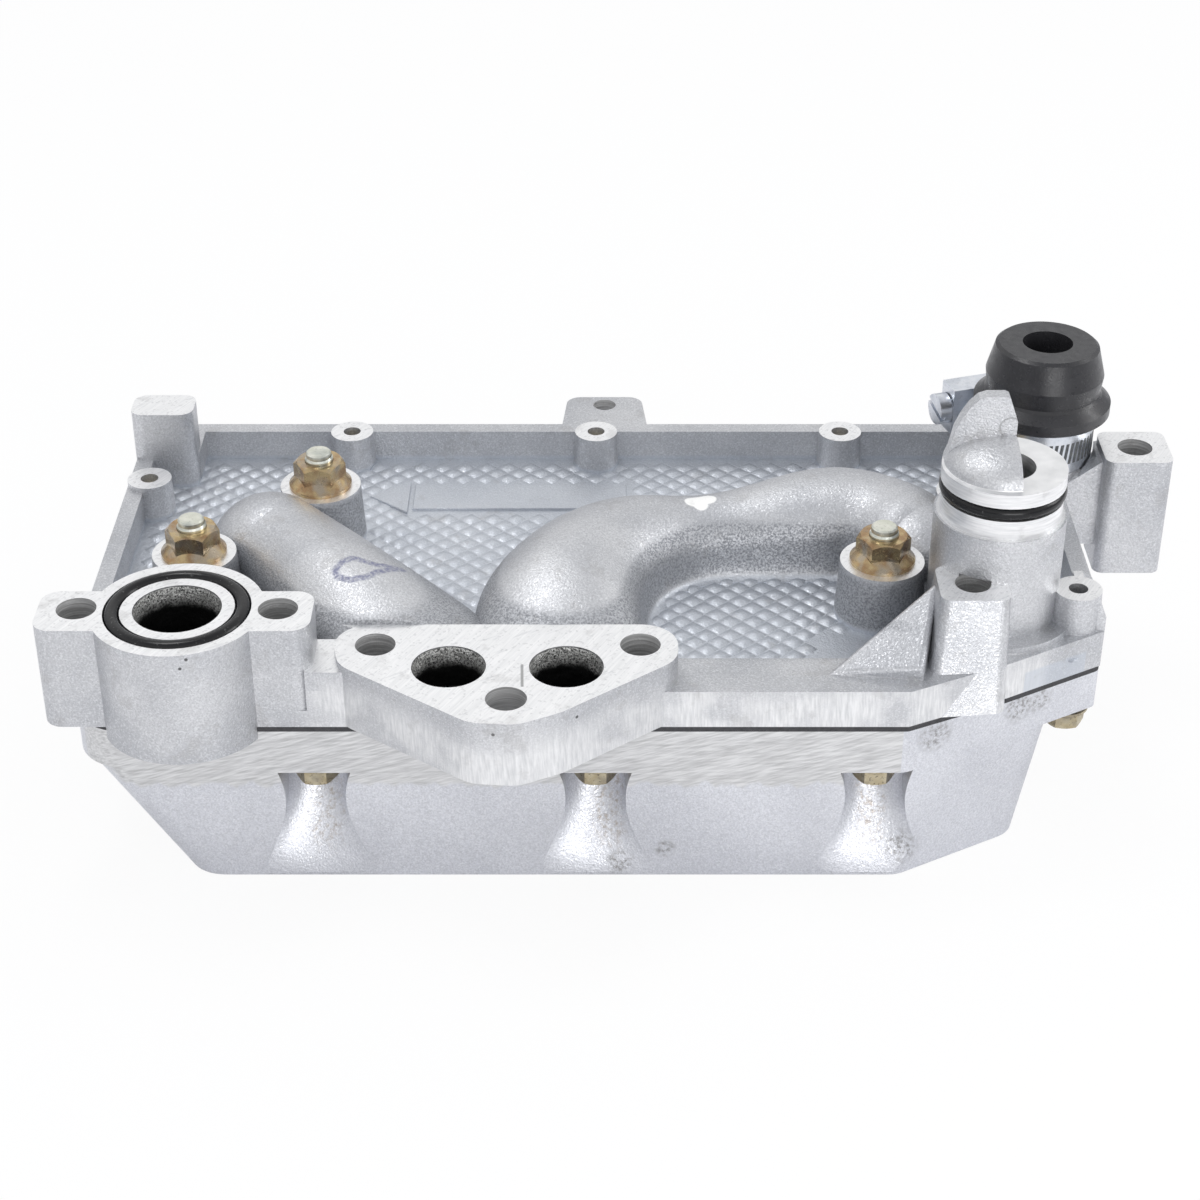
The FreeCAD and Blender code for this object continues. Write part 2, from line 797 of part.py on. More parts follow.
def tray():
    floor = round_joint("tray_floor", prism("tray_floor_blank", OUTLINE, (DECK, FLOOR)))
    wall_z = (DECK, "wall_top")
    pieces = [
        floor,
        block("left_wall", ("-edge_left", "wall_thick - edge_left"),
              ("-ear_back", "edge_rear - edge_round"), wall_z),
        block("rear_wall", ("edge_round - edge_left", "edge_right - edge_round"),
              ("edge_rear - wall_thick", "edge_rear"), wall_z),
        block("right_wall", ("edge_right - wall_thick", "edge_right"),
              ("-bolt_right_y", "edge_rear - edge_round"), wall_z),
        prism("front_rim", [
            ("tri_hole_right", "-edge_front"),
            ("bevel_start", "-edge_front"),
            ("bevel_mid_x", "-bevel_mid_y"),
            ("edge_right", "-bevel_end_y"),
            ("edge_right", "rim_width - bevel_end_y"),
            ("spigot_x", "rim_width - bevel_mid_y"),
            ("bevel_start", "rim_width - edge_front"),
            ("tri_hole_right", "rim_width - edge_front")], (DECK, "front_rim_top")),
        block("port_rim", ("-ear_right - 2", "tri_hole_left"),
              ("-edge_front", "rim_width - edge_front"), (DECK, "port_rim_top")),
    ]
    for i, (x, y) in enumerate(REAR_BOLTS + [LEFT_BOLTS[0], CORNER_BOLT], start=1):
        pieces.append(tapered_post("bolt_boss_%d" % i, x, y, (DECK, "boss_top"),
                                   "boss_radius + 0.6", "boss_radius"))
    pieces.append(tapered_post("bolt_boss_right", *RIGHT_BOLT, (DECK, "nut_seat"),
                               "boss_radius + 0.6", "boss_radius"))
    pieces.append(side_prism("right_wall_end", [
        (RIGHT_BOLT_X, DECK),
        ("edge_right", DECK),
        ("edge_right", "wall_top + 1"),
        ("edge_right - 2", "nut_seat - 2"),
        (RIGHT_BOLT_X + " + 2.6", "nut_seat"),
        (RIGHT_BOLT_X, "nut_seat")], ("-bevel_end_y", "-bolt_right_y + 9")))
    for i, (x, y) in enumerate(STUDS, start=1):
        pieces.append(tapered_post("nut_boss_%d" % i, x, y, (DECK, "nut_seat"),
                                   "nut_boss_radius + nut_boss_flare", "nut_boss_radius"))
    return pieces


def corner_round(name, radius):
    """Round corners at the two ends of the left and rear walls."""
    outer = rounded(name, prism(name + "_blank", [
        ("-edge_left", "edge_rear - 2 * edge_round"),
        ("2 * edge_round - edge_left", "edge_rear - 2 * edge_round"),
        ("2 * edge_round - edge_left", "edge_rear"),
        ("-edge_left", "edge_rear")], (DECK, "wall_top")), radius,
        lambda edge: edge.CenterOfMass.x < -size.edge_left + 1
        and edge.CenterOfMass.y > size.edge_rear - 1)
    return outer


def sloped_prism(corners, low):
    """A solid with upright sides on a triangle, its flat top at a height of its own per corner."""
    foot = [Vector(x, y, low) for x, y, top in corners]
    head = [Vector(x, y, top) for x, y, top in corners]
    rings = [Part.makePolygon(ring + ring[:1]) for ring in (foot, head)]
    return Part.makeLoft(rings, True, True)


def gusset_solid():
    """The sloped buttress from the front rim up to the front lug, its edges cast round."""
    blank = sloped_prism([
        (size.gusset_tip_x, size.gusset_tip_y, size.front_rim_top + 0.4),
        (size.gusset_side_x, size.gusset_side_y, size.gusset_side_top),
        (size.gusset_back_x, size.gusset_back_y, size.gusset_back_top)],
        size.front_rim_top - 8)
    sharp = [edge for edge in blank.Edges if edge.CenterOfMass.z > size.front_rim_top + 0.8
             and abs(edge.Vertexes[0].X - edge.Vertexes[-1].X) > 1]
    return blank.makeFillet(size.gusset_round, sharp)


def mounts_cast():
    """The cast lugs, ears and flanges."""
    ears = rounded("port_ears", block(
        "port_ears_blank", ("-ear_left", "-ear_right"), ("-edge_front", "-ear_back"),
        (DECK, "mount_plane")), size.ear_round)
    port = post("port_body", "port_x", "port_y", ("port_foot", "mount_plane"), "port_radius")
    tri = rounded("tri_flange", prism("tri_flange_blank", TRI_OUTLINE, ("tri_foot", "tri_top")),
                  size.tri_round)
    lobe = post("tri_lobe_post", "tri_hole_right", "tri_hole_y", ("tri_foot", "front_rim_top"),
                "tri_lobe")
    lug = rounded("front_lug", loft("front_lug_blank", [
        flat_sketch("lug_foot_outline", [
            ("pad_left", "-pad_front"),
            ("pad_right", "2.4 - pad_front"),
            ("pad_right", "lug_y + lug_depth / 2"),
            ("pad_left", "lug_y + lug_depth / 2")], DECK),
        flat_sketch("lug_top_outline", [
            ("lug_x - lug_width / 2", "lug_y - lug_depth / 2"),
            ("lug_x + lug_width / 2", "lug_y - lug_depth / 2"),
            ("lug_x + lug_width / 2", "lug_y + lug_depth / 2"),
            ("lug_x - lug_width / 2", "lug_y + lug_depth / 2")], "mount_plane")]),
        size.lug_bevel)
    side = rounded("side_lug", block(
        "side_lug_blank", ("side_lug_x - side_lug_width / 2", "side_lug_x + side_lug_width / 2"),
        ("side_lug_y - side_lug_depth / 2", "side_lug_y + side_lug_depth / 2"),
        ("side_lug_foot", "mount_plane")), 3.0)
    web = side_prism("side_web_wall", [
        ("nipple_x - 2", DECK),
        ("side_lug_x - side_lug_width / 2 + 1", DECK),
        ("side_lug_x - side_lug_width / 2 + 1", "mount_plane - 2.5"),
        ("side_lug_x - side_lug_width / 2 - 1", "mount_plane - 3"),
        ("edge_right", "nipple_shoulder - 3"),
        ("nipple_x - 2", "nipple_shoulder - 4")],
        ("side_lug_y - side_web / 2", "side_lug_y + side_web"))
    corner = rounded("corner_lug", block(
        "corner_lug_blank", ("-corner_lug_left", "-corner_lug_right"),
        ("corner_lug_front", "corner_lug_back"), (DECK, "mount_plane")), 4.0)
    gusset = solid_feature("gusset", gusset_solid())
    tab = rounded("rear_tab", prism("rear_tab_blank", [
        ("tab_x - tab_half", "edge_rear - wall_thick"),
        ("tab_x + tab_half", "edge_rear - wall_thick"),
        ("tab_x + tab_tip_half", "tab_reach"),
        ("tab_x - tab_tip_half", "tab_reach")], ("wall_top - tab_thick", "wall_top")),
        size.tab_round, lambda edge: edge.CenterOfMass.y > size.edge_rear + 8)
    return [ears, port, tri, lobe, lug, side, web, corner, gusset, tab]


def spigot_cast():
    """The spigot: turned collar, seal groove, disc and the scoop on it."""
    groove_low = "seal_height - spigot_seal_wire / 2 - 0.2"
    groove_high = "seal_height + spigot_seal_wire / 2 + 0.2"
    pieces = [
        post("spigot_skirt_post", "spigot_x", "spigot_y", (DECK, "spigot_skirt_top"),
             "spigot_skirt"),
        post("spigot_body", "spigot_x", "spigot_y", (DECK, "spigot_step"), "spigot_radius"),
        post("spigot_collar", "spigot_x", "spigot_y", ("spigot_step - 1", groove_low),
             "collar_turned"),
        post("spigot_groove", "spigot_x", "spigot_y", (groove_low + " - 1", groove_high + " + 1"),
             "seal_floor"),
        post("spigot_disc", "spigot_x", "spigot_y", (groove_high, "disc_top"), "disc_radius"),
    ]
    scoop = doc.addObject("Part::Ellipsoid", "scoop_bulge")
    tie(scoop, Radius1="scoop_height", Radius2="disc_radius - 0.6", Radius3="disc_radius - 1")
    place(scoop, "spigot_x", "spigot_y + 1", "disc_top - 0.6")
    half = block("scoop_half", ("spigot_x - 20", "spigot_x + scoop_plane"),
                 ("spigot_y - 20", "fin_y + fin_thick / 2"), ("disc_top - 1", "disc_top + 20"))
    fin = side_prism("fin_plate", [
        ("spigot_x - disc_radius", "disc_top - 2"),
        ("spigot_x + 5", "disc_top - 2"),
        ("spigot_x + 5", "disc_top + fin_rise * 0.26"),
        ("spigot_x + 3", "disc_top + fin_rise * 0.56"),
        ("spigot_x + 0.2", "disc_top + fin_rise * 0.97"),
        ("spigot_x - 0.8", "disc_top + fin_rise"),
        ("spigot_x - 5.6", "disc_top + fin_rise"),
        ("spigot_x - 7.8", "disc_top + fin_rise * 0.96"),
        ("spigot_x - 10.0", "disc_top + fin_rise * 0.84"),
        ("spigot_x - 12.0", "disc_top + fin_rise * 0.66"),
        ("spigot_x - 13.4", "disc_top + fin_rise * 0.48"),
        ("spigot_x - 14.6", "disc_top + fin_rise * 0.17")],
        ("fin_y - fin_thick / 2", "fin_y + fin_thick / 2"))
    rim = post("fin_limit", "spigot_x", "spigot_y", ("disc_top - 2", "disc_top + fin_rise"),
               "disc_radius")
    pieces.append(common("scoop", [scoop, half]))
    pieces.append(common("fin", [fin, rim]))
    return pieces


def nipple_cast():
    return [
        post("nipple_base", "nipple_x", "nipple_y", (DECK, "nipple_shoulder"), "nipple_body"),
        post("nipple_pipe_post", "nipple_x", "nipple_y", ("nipple_shoulder - 1", "nipple_top"),
             "nipple_pipe"),
    ]


def housing_tools():
    """Everything drilled, bored or turned into the casting."""
    through = (DECK + " - 8", "mount_plane + 1")
    stud_z = (DECK + " - 1", "nut_seat + 20")
    ears = [("port_x - ear_pitch / 2", "port_y"), ("port_x + ear_pitch / 2", "port_y")]
    tri_holes = [("tri_hole_left", "tri_hole_y"), ("tri_hole_right", "tri_hole_y"),
                 ("tri_hole_mid", "tri_hole_mid_y")]
    tri_bores = [("tri_bore_left", "tri_bore_y"), ("tri_bore_right", "tri_bore_y")]
    tapped = REAR_BOLTS + [LEFT_BOLTS[0], CORNER_BOLT, RIGHT_BOLT]
    tools = holes("stud_bore", STUDS, stud_z, "stud_hole / 2")
    tools += holes("spot_face", STUDS, ("nut_seat", "nut_seat + 15"), "nut_flange / 2 + 0.8")
    tools += holes("tapped", tapped, (DECK + " - 1", "nut_seat + 1"), "bolt_tap / 2")
    tools += holes("blind_tap", FRONT_BOLTS + [LEFT_BOLTS[1]],
                   (DECK + " - 1", "blind_top"), "bolt_tap / 2")
    tools += holes("ear_bore", ears, (DECK + " - 1", "mount_plane + 1"), "ear_hole / 2")
    tools += holes("tri_bolt_hole", tri_holes, ("tri_foot - 1", "tri_top + 12"), "tri_hole / 2")
    tools += holes("tri_bore", tri_bores, ("blind_top + 1", "tri_top + 12"), "port_bore / 2")
    tools += holes("core_bore", [PORT_LEFT, PORT_RIGHT],
                   (DECK + " - 1", "gallery_crown - gallery_wall - port_bore / 2"),
                   "port_bore / 2")
    tools += [
        post("lug_bore", "lug_x", "lug_y", ("front_rim_top", "mount_plane + 1"), "lug_hole / 2"),
        post("side_lug_bore", "side_lug_x", "side_lug_y", ("side_lug_foot - 1", "mount_plane + 1"),
             "side_lug_hole / 2"),
        post("tab_bore", "tab_x", "tab_y", ("wall_top - tab_thick - 1", "wall_top + 1"),
             "tab_hole / 2"),
        post("spigot_bore_tool", "spigot_x", "spigot_y", (DECK + " - 1", "disc_top - 3"),
             "spigot_bore / 2"),
        post("nipple_bore_tool", "nipple_x", "nipple_y", (FLOOR, "nipple_top + 1"),
             "nipple_bore / 2"),
        block("nipple_gate", ("nipple_x - 16", "nipple_x"), ("nipple_y - 6", "nipple_y + 6"),
              (DECK + " - 1", FLOOR + " + 6")),
        post("water_bore", "port_x", "port_y", (FLOOR, "mount_plane + 1"), "port_bore_water / 2"),
        block("water_gate", ("port_x - 9", "port_x + 9"), ("port_y + 2", "port_y + 14"),
              (DECK + " - 1", FLOOR + " + 8")),
    ]
    # What overhangs the joint stays clear of the cover and the gasket below
    tools.append(prism("joint_clearance", [
        ("-edge_left - joint_gap", "-edge_front - joint_gap"),
        ("bevel_start + joint_gap / 2", "-edge_front - joint_gap"),
        ("bevel_mid_x + joint_gap / 2", "-bevel_mid_y - joint_gap"),
        ("edge_right + joint_gap", "-bevel_end_y - joint_gap"),
        ("edge_right + joint_gap", "edge_rear + joint_gap"),
        ("-edge_left - joint_gap", "edge_rear + joint_gap")], ("side_lug_foot - 2", DECK)))
    throat = common("spigot_throat", [
        post("spigot_throat_round", "spigot_x", "spigot_y", ("disc_top - 4", "disc_top + 30"),
             "throat_bore / 2"),
        block("spigot_throat_side", ("spigot_x + scoop_plane", "spigot_x + 20"),
              ("spigot_y - 20", "spigot_y + 20"), ("disc_top - 5", "disc_top + 31"))])
    groove_z = ("mount_plane - groove_depth", "mount_plane + 1")
    groove = cut("seal_groove", post("groove_wide", "port_x", "port_y", groove_z,
                                     "groove_outer / 2"),
                 post("groove_core", "port_x", "port_y", groove_z, "groove_inner / 2"))
    clamp_z = ("nipple_shoulder", "mount_plane + 8")
    clamp_room = cut("clamp_room", post("clamp_room_wide", "nipple_x", "nipple_y", clamp_z,
                                        "boot_sleeve + band_thick + 0.5"),
                     post("clamp_room_core", "nipple_x", "nipple_y", clamp_z, "nipple_pipe"))
    core_grooves = []
    for i, (x, y) in enumerate([PORT_LEFT, PORT_RIGHT], start=1):
        seal_z = (DECK + " - 1", DECK + " + seal_wire")
        core_grooves.append(cut("core_groove_%d" % i,
                                post("core_groove_wide_%d" % i, x, y, seal_z,
                                     "seal_radius + seal_wire / 2 + 0.2"),
                                post("core_groove_core_%d" % i, x, y, seal_z,
                                     "seal_radius - seal_wire / 2 - 0.2")))
    return tools + [throat, groove, clamp_room] + core_grooves


def make_housing():
    floor = size.cover_height + size.gasket_thick + size.floor_thick
    galleries = [
        solid_feature("gallery_left", gallery_solid(left_stations(), floor, size.gallery_foot)),
        solid_feature("gallery_right", gallery_solid(right_stations(), floor, size.gallery_foot)),
    ]
    passages = []
    for stations in (left_stations(), right_stations()):
        x, y, half, crown = stations[0]
        stations[0] = (x - size.passage_shift, size.tri_bore_y, half, crown)
        passages.append(solid_feature("passage", passage_solid(stations)))
    # Above the flange's machined face nothing of the galleries is left
    milled = prism("tri_milled", TRI_OUTLINE, ("tri_top", "tri_top + 12"))
    cast = fuse("housing_cast", galleries + tray() + [corner_round("wall_corner", size.edge_round)]
                + mounts_cast() + spigot_cast() + nipple_cast())
    hollow = cut("housing_hollow", cut("housing_half_hollow", cast, passages[0]), passages[1])
    keep(cut("housing", hollow, fuse("housing_tools", [milled] + housing_tools())), "housing")


# Brazed core: mounting plate, stacked cells, end plate

def mirrored(corners):
    """Corners followed by the same ones turned half round the core's middle."""
    return corners + [("2 * core_middle - (%s)" % x, "-(%s)" % y) for x, y in corners]


def make_core():
    plate_top = DECK
    plate_low = DECK + " - core_plate_thick"
    inner = ("core_middle + stud_inner_x", "-stud_inner_y")
    outer = ("core_middle + stud_outer_x", "stud_outer_y")
    corners = mirrored([
        (inner[0] + " - 8", inner[1] + " - 12"),
        (inner[0] + " + 9", inner[1] + " - 11"),
        (outer[0] + " + 8", outer[1] + " - 9"),
        (outer[0] + " + 8", outer[1] + " + 9"),
        (outer[0] + " - 10", outer[1] + " + 13"),
    ])
    blank = rounded("core_plate_rounded",
                    prism("core_plate_blank", corners, (plate_low, plate_top)), 5.0)
    drilled = fuse("core_plate_holes",
                   holes("plate_stud_hole", STUDS, (plate_low, plate_top), "stud_hole / 2")
                   + holes("plate_port", [PORT_LEFT, PORT_RIGHT], (plate_low, plate_top),
                           "port_bore / 2"))
    keep(cut("core_plate", blank, drilled), "core_mounting_plate")
    pitch = "(cell_thick + cell_gap)"
    for i in range(1, int(size.cell_count) + 1):
        top = "%s - cell_gap - %d * %s" % (plate_low, i - 1, pitch)
        make_cell("core_cell_%d" % i, top, "cell_thick", True)
    low = "%s - cell_gap - cell_count * %s" % (plate_low, pitch)
    make_cell("core_end_plate", low, "end_plate_thick", False)


def make_cell(name, top, thick, open_ports):
    """A pressed plate pair with a raised collar round each port."""
    body = doc.addObject("PartDesign::Body", name)
    outline = body_sketch(body, name + "_outline", "XY_Plane", "-(%s)" % thick)
    half_x = "cell_length / 2"
    half_y = "cell_width / 2"
    draw_polygon(outline, [("-" + half_x, "-" + half_y), (half_x, "-" + half_y),
                           (half_x, half_y), ("-" + half_x, half_y)])
    plate = pad(body, name + "_plate", outline, thick)
    doc.recompute()
    upright = ["Edge%d" % number for number, edge in enumerate(plate.Shape.Edges, start=1)
               if abs(edge.Vertexes[0].Z - edge.Vertexes[-1].Z) > 0.5]
    corners = body.newObject("PartDesign::Fillet", name + "_corners")
    corners.Base = (plate, upright)
    tie(corners, Radius="cell_round")
    collars = body_sketch(body, name + "_collars")
    draw_circle(collars, "-port_pitch / 2", "port_skew", "collar_radius")
    draw_circle(collars, "port_pitch / 2", "-port_skew", "collar_radius")
    pad(body, name + "_collar", collars, "cell_gap")
    if open_ports:
        ports = body_sketch(body, name + "_ports", "XY_Plane", "cell_gap")
        draw_circle(ports, "-port_pitch / 2", "port_skew", "port_bore / 2")
        draw_circle(ports, "port_pitch / 2", "-port_skew", "port_bore / 2")
        drill = body.newObject("PartDesign::Pocket", name + "_drill")
        drill.Profile = ports
        drill.Type = 1
    place(body, "core_middle", "0", top)
    keep(body, name)


def make_core_seals():
    for side, (x, y) in (("left", PORT_LEFT), ("right", PORT_RIGHT)):
        name = "core_seal_" + side
        keep(ring_body(name, "seal_radius", "seal_wire", x, y, DECK + " + seal_wire / 2"), name)


# Fasteners

def make_studs_and_nuts():
    plate_low = DECK + " - core_plate_thick"
    for i, (x, y) in enumerate(STUDS, start=1):
        stud_low = "-stud_head_thick"
        stud_high = "stud_top - (%s)" % plate_low
        name = "core_stud_%d" % i
        keep(turned_body(name, [
            ("0", stud_low), ("stud_head / 2", stud_low), ("stud_head / 2", "0"),
            ("stud_thread / 2", "0"), ("stud_thread / 2", stud_high + " - 2.2"),
            ("stud_tip / 2", stud_high + " - 1.6"), ("stud_tip / 2", stud_high + " - 0.4"),
            ("stud_tip / 2 - 0.4", stud_high), ("0", stud_high)], x, y, plate_low), name)
    for i, (x, y) in enumerate(STUDS, start=1):
        make_nut("flange_nut_%d" % i, x, y)


def make_nut(name, x, y):
    """A hexagon nut with a conical flange, its top corners turned off."""
    hexagon = doc.addObject("Part::Prism", name + "_hexagon")
    hexagon.Polygon = 6
    tie(hexagon, Circumradius="nut_hex / 2 / cos(30)", Height="nut_height")
    dome = doc.addObject("Part::Cone", name + "_dome")
    tie(dome, Radius1="nut_hex / 2 / cos(30) + nut_height * 0.9", Radius2="nut_hex / 2 - 0.2",
        Height="nut_height")
    faceted = common(name + "_faceted", [hexagon, dome])
    skirt = doc.addObject("Part::Cone", name + "_skirt")
    tie(skirt, Radius1="nut_flange / 2", Radius2="nut_hex / 2 - 1", Height="nut_height * 0.42")
    skirt.setExpression("Placement.Base.z", formula("nut_height * 0.12"))
    rim = doc.addObject("Part::Cylinder", name + "_rim")
    tie(rim, Radius="nut_flange / 2", Height="nut_height * 0.12")
    bore = doc.addObject("Part::Cylinder", name + "_bore")
    tie(bore, Radius="stud_thread / 2 + nut_clearance", Height="nut_height")
    nut = cut(name, fuse(name + "_blank", [faceted, skirt, rim]), bore)
    keep(place(nut, x, y, "nut_seat"), name)


def make_cover_bolts():
    """Hexagon flange bolts from below, head down."""
    for i, (x, y) in enumerate(ALL_BOLTS, start=1):
        name = "cover_bolt_%d" % i
        hexagon = doc.addObject("Part::Prism", name + "_hexagon")
        hexagon.Polygon = 6
        tie(hexagon, Circumradius="bolt_head / 2 / cos(30)", Height="bolt_head_height")
        hexagon.setExpression("Placement.Base.z", formula("-bolt_head_height"))
        dome = doc.addObject("Part::Cone", name + "_dome")
        tie(dome, Radius1="bolt_head_end / 2", Radius2="bolt_head_end / 2 + 2 * bolt_head_height",
            Height="bolt_head_height")
        dome.setExpression("Placement.Base.z", formula("-bolt_head_height"))
        head = common(name + "_head", [hexagon, dome])
        skirt = doc.addObject("Part::Cone", name + "_skirt")
        tie(skirt, Radius1="bolt_head / 2 - 0.6", Radius2="bolt_flange / 2", Height="1.8")
        skirt.setExpression("Placement.Base.z", formula("-2.6"))
        rim = doc.addObject("Part::Cylinder", name + "_rim")
        tie(rim, Radius="bolt_flange / 2", Height="0.8")
        rim.setExpression("Placement.Base.z", formula("-0.8"))
        shank = doc.addObject("Part::Cylinder", name + "_shank")
        through = "%s - (%s)" % (DECK, SEAT)
        tie(shank, Radius="bolt_shank / 2 - 0.1", Height=through)
        thread = doc.addObject("Part::Cylinder", name + "_thread")
        blind = (x, y) in FRONT_BOLTS + LEFT_BOLTS[1:]
        reach = "blind_top - 0.5 - (%s)" % SEAT if blind else "bolt_length"
        tie(thread, Radius="bolt_tap / 2 - 0.1", Height=reach)
        bolt = fuse(name, [head, skirt, rim, shank, thread])
        keep(place(bolt, x, y, SEAT), name)


# Seals, boot and clamp

def make_outer_seals():
    keep(ring_body("port_seal", "(groove_outer + groove_inner) / 4", "port_seal_wire",
                   "port_x", "port_y", "mount_plane - groove_depth + port_seal_wire / 2"),
         "port_seal")
    keep(ring_body("spigot_seal", "seal_floor + spigot_seal_wire / 2", "spigot_seal_wire",
                   "spigot_x", "spigot_y", "seal_height"), "spigot_seal")


def make_boot():
    keep(turned_body("boot", [
        ("boot_hole / 2", "boot_top"),
        ("boot_top_radius - 1", "boot_top"),
        ("boot_top_radius", "boot_top - 0.8"),
        ("boot_belly", "boot_belly_height"),
        ("boot_waist", "boot_bead_high + boot_waist_rise"),
        ("boot_waist + 0.6", "boot_bead_high + 0.75 * boot_waist_rise"),
        ("boot_bead", "boot_bead_high"),
        ("boot_bead", "boot_bead_low + 0.6"),
        ("boot_bead - 0.6", "boot_bead_low"),
        ("boot_sleeve", "boot_bead_low"),
        ("boot_sleeve", "nipple_shoulder"),
        ("nipple_pipe", "nipple_shoulder"),
        ("nipple_pipe", "nipple_top"),
        ("boot_hole / 2", "nipple_top")], "nipple_x", "nipple_y"), "rubber_boot")


def make_clamp():
    band_low = "nipple_shoulder + 0.3"
    band_high = "nipple_shoulder + 0.3 + band_width"
    keep(turned_body("band", [
        ("boot_sleeve", band_low), ("boot_sleeve + band_thick", band_low),
        ("boot_sleeve + band_thick", band_high), ("boot_sleeve", band_high)],
        "nipple_x", "nipple_y"), "clamp_band")
    # The worm lies along the tangent at its own angle round the band, its head to the left
    angle = math.radians(size.worm_angle)
    outward = Vector(math.cos(angle), math.sin(angle), 0)
    along = Vector(-math.sin(angle), math.cos(angle), 0)
    middle = Vector(size.nipple_x, size.nipple_y,
                    size.nipple_shoulder + 0.3 + size.band_width / 2)
    band_radius = size.boot_sleeve + size.band_thick
    centre = middle + outward * (band_radius + size.worm_offset)
    head_start = centre + along * (size.worm_head_reach - size.worm_head_length)
    tall = size.band_width + 2 * size.saddle_wall
    saddle = Part.makeBox(size.saddle_length, size.saddle_thick, tall)
    saddle.Placement = Placement(
        head_start - along * (size.saddle_length + 0.4), Rotation(Vector(1, 0, 0), along)
    ).multiply(Placement(Vector(0, -size.saddle_thick / 2, -tall / 2), Rotation()))
    bore = Part.makeCylinder(size.worm_radius + 0.1, 2 * size.worm_length,
                             head_start - along * size.worm_length * 1.5, along)
    sleeve = Part.makeCylinder(band_radius, 2 * tall, middle - Vector(0, 0, tall))
    keep(solid_feature("saddle", saddle.cut(bore).cut(sleeve)), "clamp_housing")
    screw = Part.makeCylinder(size.worm_radius, size.worm_length,
                              head_start - along * size.worm_length, along)
    head = Part.makeCylinder(size.worm_head_radius, size.worm_head_length, head_start, along)
    slot = Part.makeBox(size.worm_slot, 4 * size.worm_head_radius, size.worm_slot)
    slot.Placement = Placement(
        head_start + along * (size.worm_head_length - size.worm_slot),
        Rotation(Vector(0, 0, 1), along)
    ).multiply(Placement(Vector(-size.worm_slot / 2, -2 * size.worm_head_radius, 0), Rotation()))
    keep(solid_feature("worm", screw.fuse(head).cut(slot).removeSplitter()), "clamp_screw")


make_cover()
make_gasket()
make_housing()
make_core()
make_core_seals()
make_studs_and_nuts()
make_cover_bolts()
make_outer_seals()
make_boot()
make_clamp()
doc.recompute()

# Every feature has to be sound before a file is written

for feature in doc.Objects:
    if "Invalid" in feature.State or "Error" in feature.State:
        raise RuntimeError("failed feature: %s %s" % (feature.Name, feature.State))
for node in nodes:
    if node.Shape.isNull() or not node.Shape.isValid() or not node.Shape.Solids:
        raise RuntimeError("bad shape: " + node.Label)

os.makedirs("parts", exist_ok=True)
for node in nodes:
    node.Shape.exportStep(os.path.join("parts", node.Label + ".step"))
    box = node.Shape.BoundBox
    print("%-22s solids %d volume %9.1f  x %7.1f %7.1f  y %7.1f %7.1f  z %7.1f %7.1f" % (
        node.Label, len(node.Shape.Solids), node.Shape.Volume,
        box.XMin, box.XMax, box.YMin, box.YMax, box.ZMin, box.ZMax))
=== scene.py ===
"""Looks of an oil cooler: cast aluminium tray and tub, bolts, seals and a rubber boot."""
import json
import math

import bpy
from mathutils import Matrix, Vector, noise


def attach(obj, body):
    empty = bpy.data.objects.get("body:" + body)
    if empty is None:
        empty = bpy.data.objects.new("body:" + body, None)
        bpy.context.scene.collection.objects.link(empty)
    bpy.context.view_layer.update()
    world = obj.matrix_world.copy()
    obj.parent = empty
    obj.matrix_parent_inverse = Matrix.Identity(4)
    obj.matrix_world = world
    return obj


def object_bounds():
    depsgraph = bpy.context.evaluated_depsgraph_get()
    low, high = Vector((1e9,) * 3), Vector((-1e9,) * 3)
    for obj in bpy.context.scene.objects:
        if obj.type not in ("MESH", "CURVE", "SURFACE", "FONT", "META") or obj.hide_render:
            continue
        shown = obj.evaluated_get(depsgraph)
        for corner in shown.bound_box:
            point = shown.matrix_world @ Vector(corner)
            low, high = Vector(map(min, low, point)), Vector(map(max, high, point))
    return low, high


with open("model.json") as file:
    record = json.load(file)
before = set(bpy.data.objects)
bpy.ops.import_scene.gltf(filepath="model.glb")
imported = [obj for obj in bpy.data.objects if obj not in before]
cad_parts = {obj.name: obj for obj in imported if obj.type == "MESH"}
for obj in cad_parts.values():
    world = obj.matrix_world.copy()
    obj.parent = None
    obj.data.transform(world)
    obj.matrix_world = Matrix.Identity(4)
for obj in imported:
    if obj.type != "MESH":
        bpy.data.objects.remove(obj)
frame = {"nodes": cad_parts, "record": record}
CAD_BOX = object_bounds()

MM = 0.001

# Levels of the CAD solids, in millimetres
FLOOR_TOP = 54.2
RIM_TOP = 60.1
BOSS_TOP = 65.3
PORT_RIM = 66.1
FLANGE_TOP = 68.2
NUT_SEAT = 71.0
MOUNT_TOP = 78.8
STUD_TOP = 81.8
SPIGOT_STEP = 91.6
DISC_TOP = 105.0

# Places of the CAD solids in plan, in millimetres
STUDS = [(-80.4, 21.1), (-111.3, -17.0), (77.0, -21.1), (107.9, 17.0)]
OIL_BORES = [(-38.8, -69.5), (-8.6, -69.5)]
OIL_BORE_RADIUS = 9.6
WATER_BORE = (-109.0, -58.5)
WATER_BORE_RADIUS = 11.5
BOOT_AXIS = (128.2, 39.0)
SPIGOT = (106.2, -29.5)
SPIGOT_RADIUS = 17.0
TRAY_X, TRAY_Y = (-133.9, 130.6), (-53.3, 67.2)
GALLERIES_X, GALLERIES_Y = (-104, 92), (-53, 30)
FRONT_BOLTS = (-73.9, 2.5, 73.0)
# The front side lies ahead of one line, the flange's side ahead of another
FRONT_Y, FLANGE_Y = -50, -60
FLANGE_X = (-72, 25)
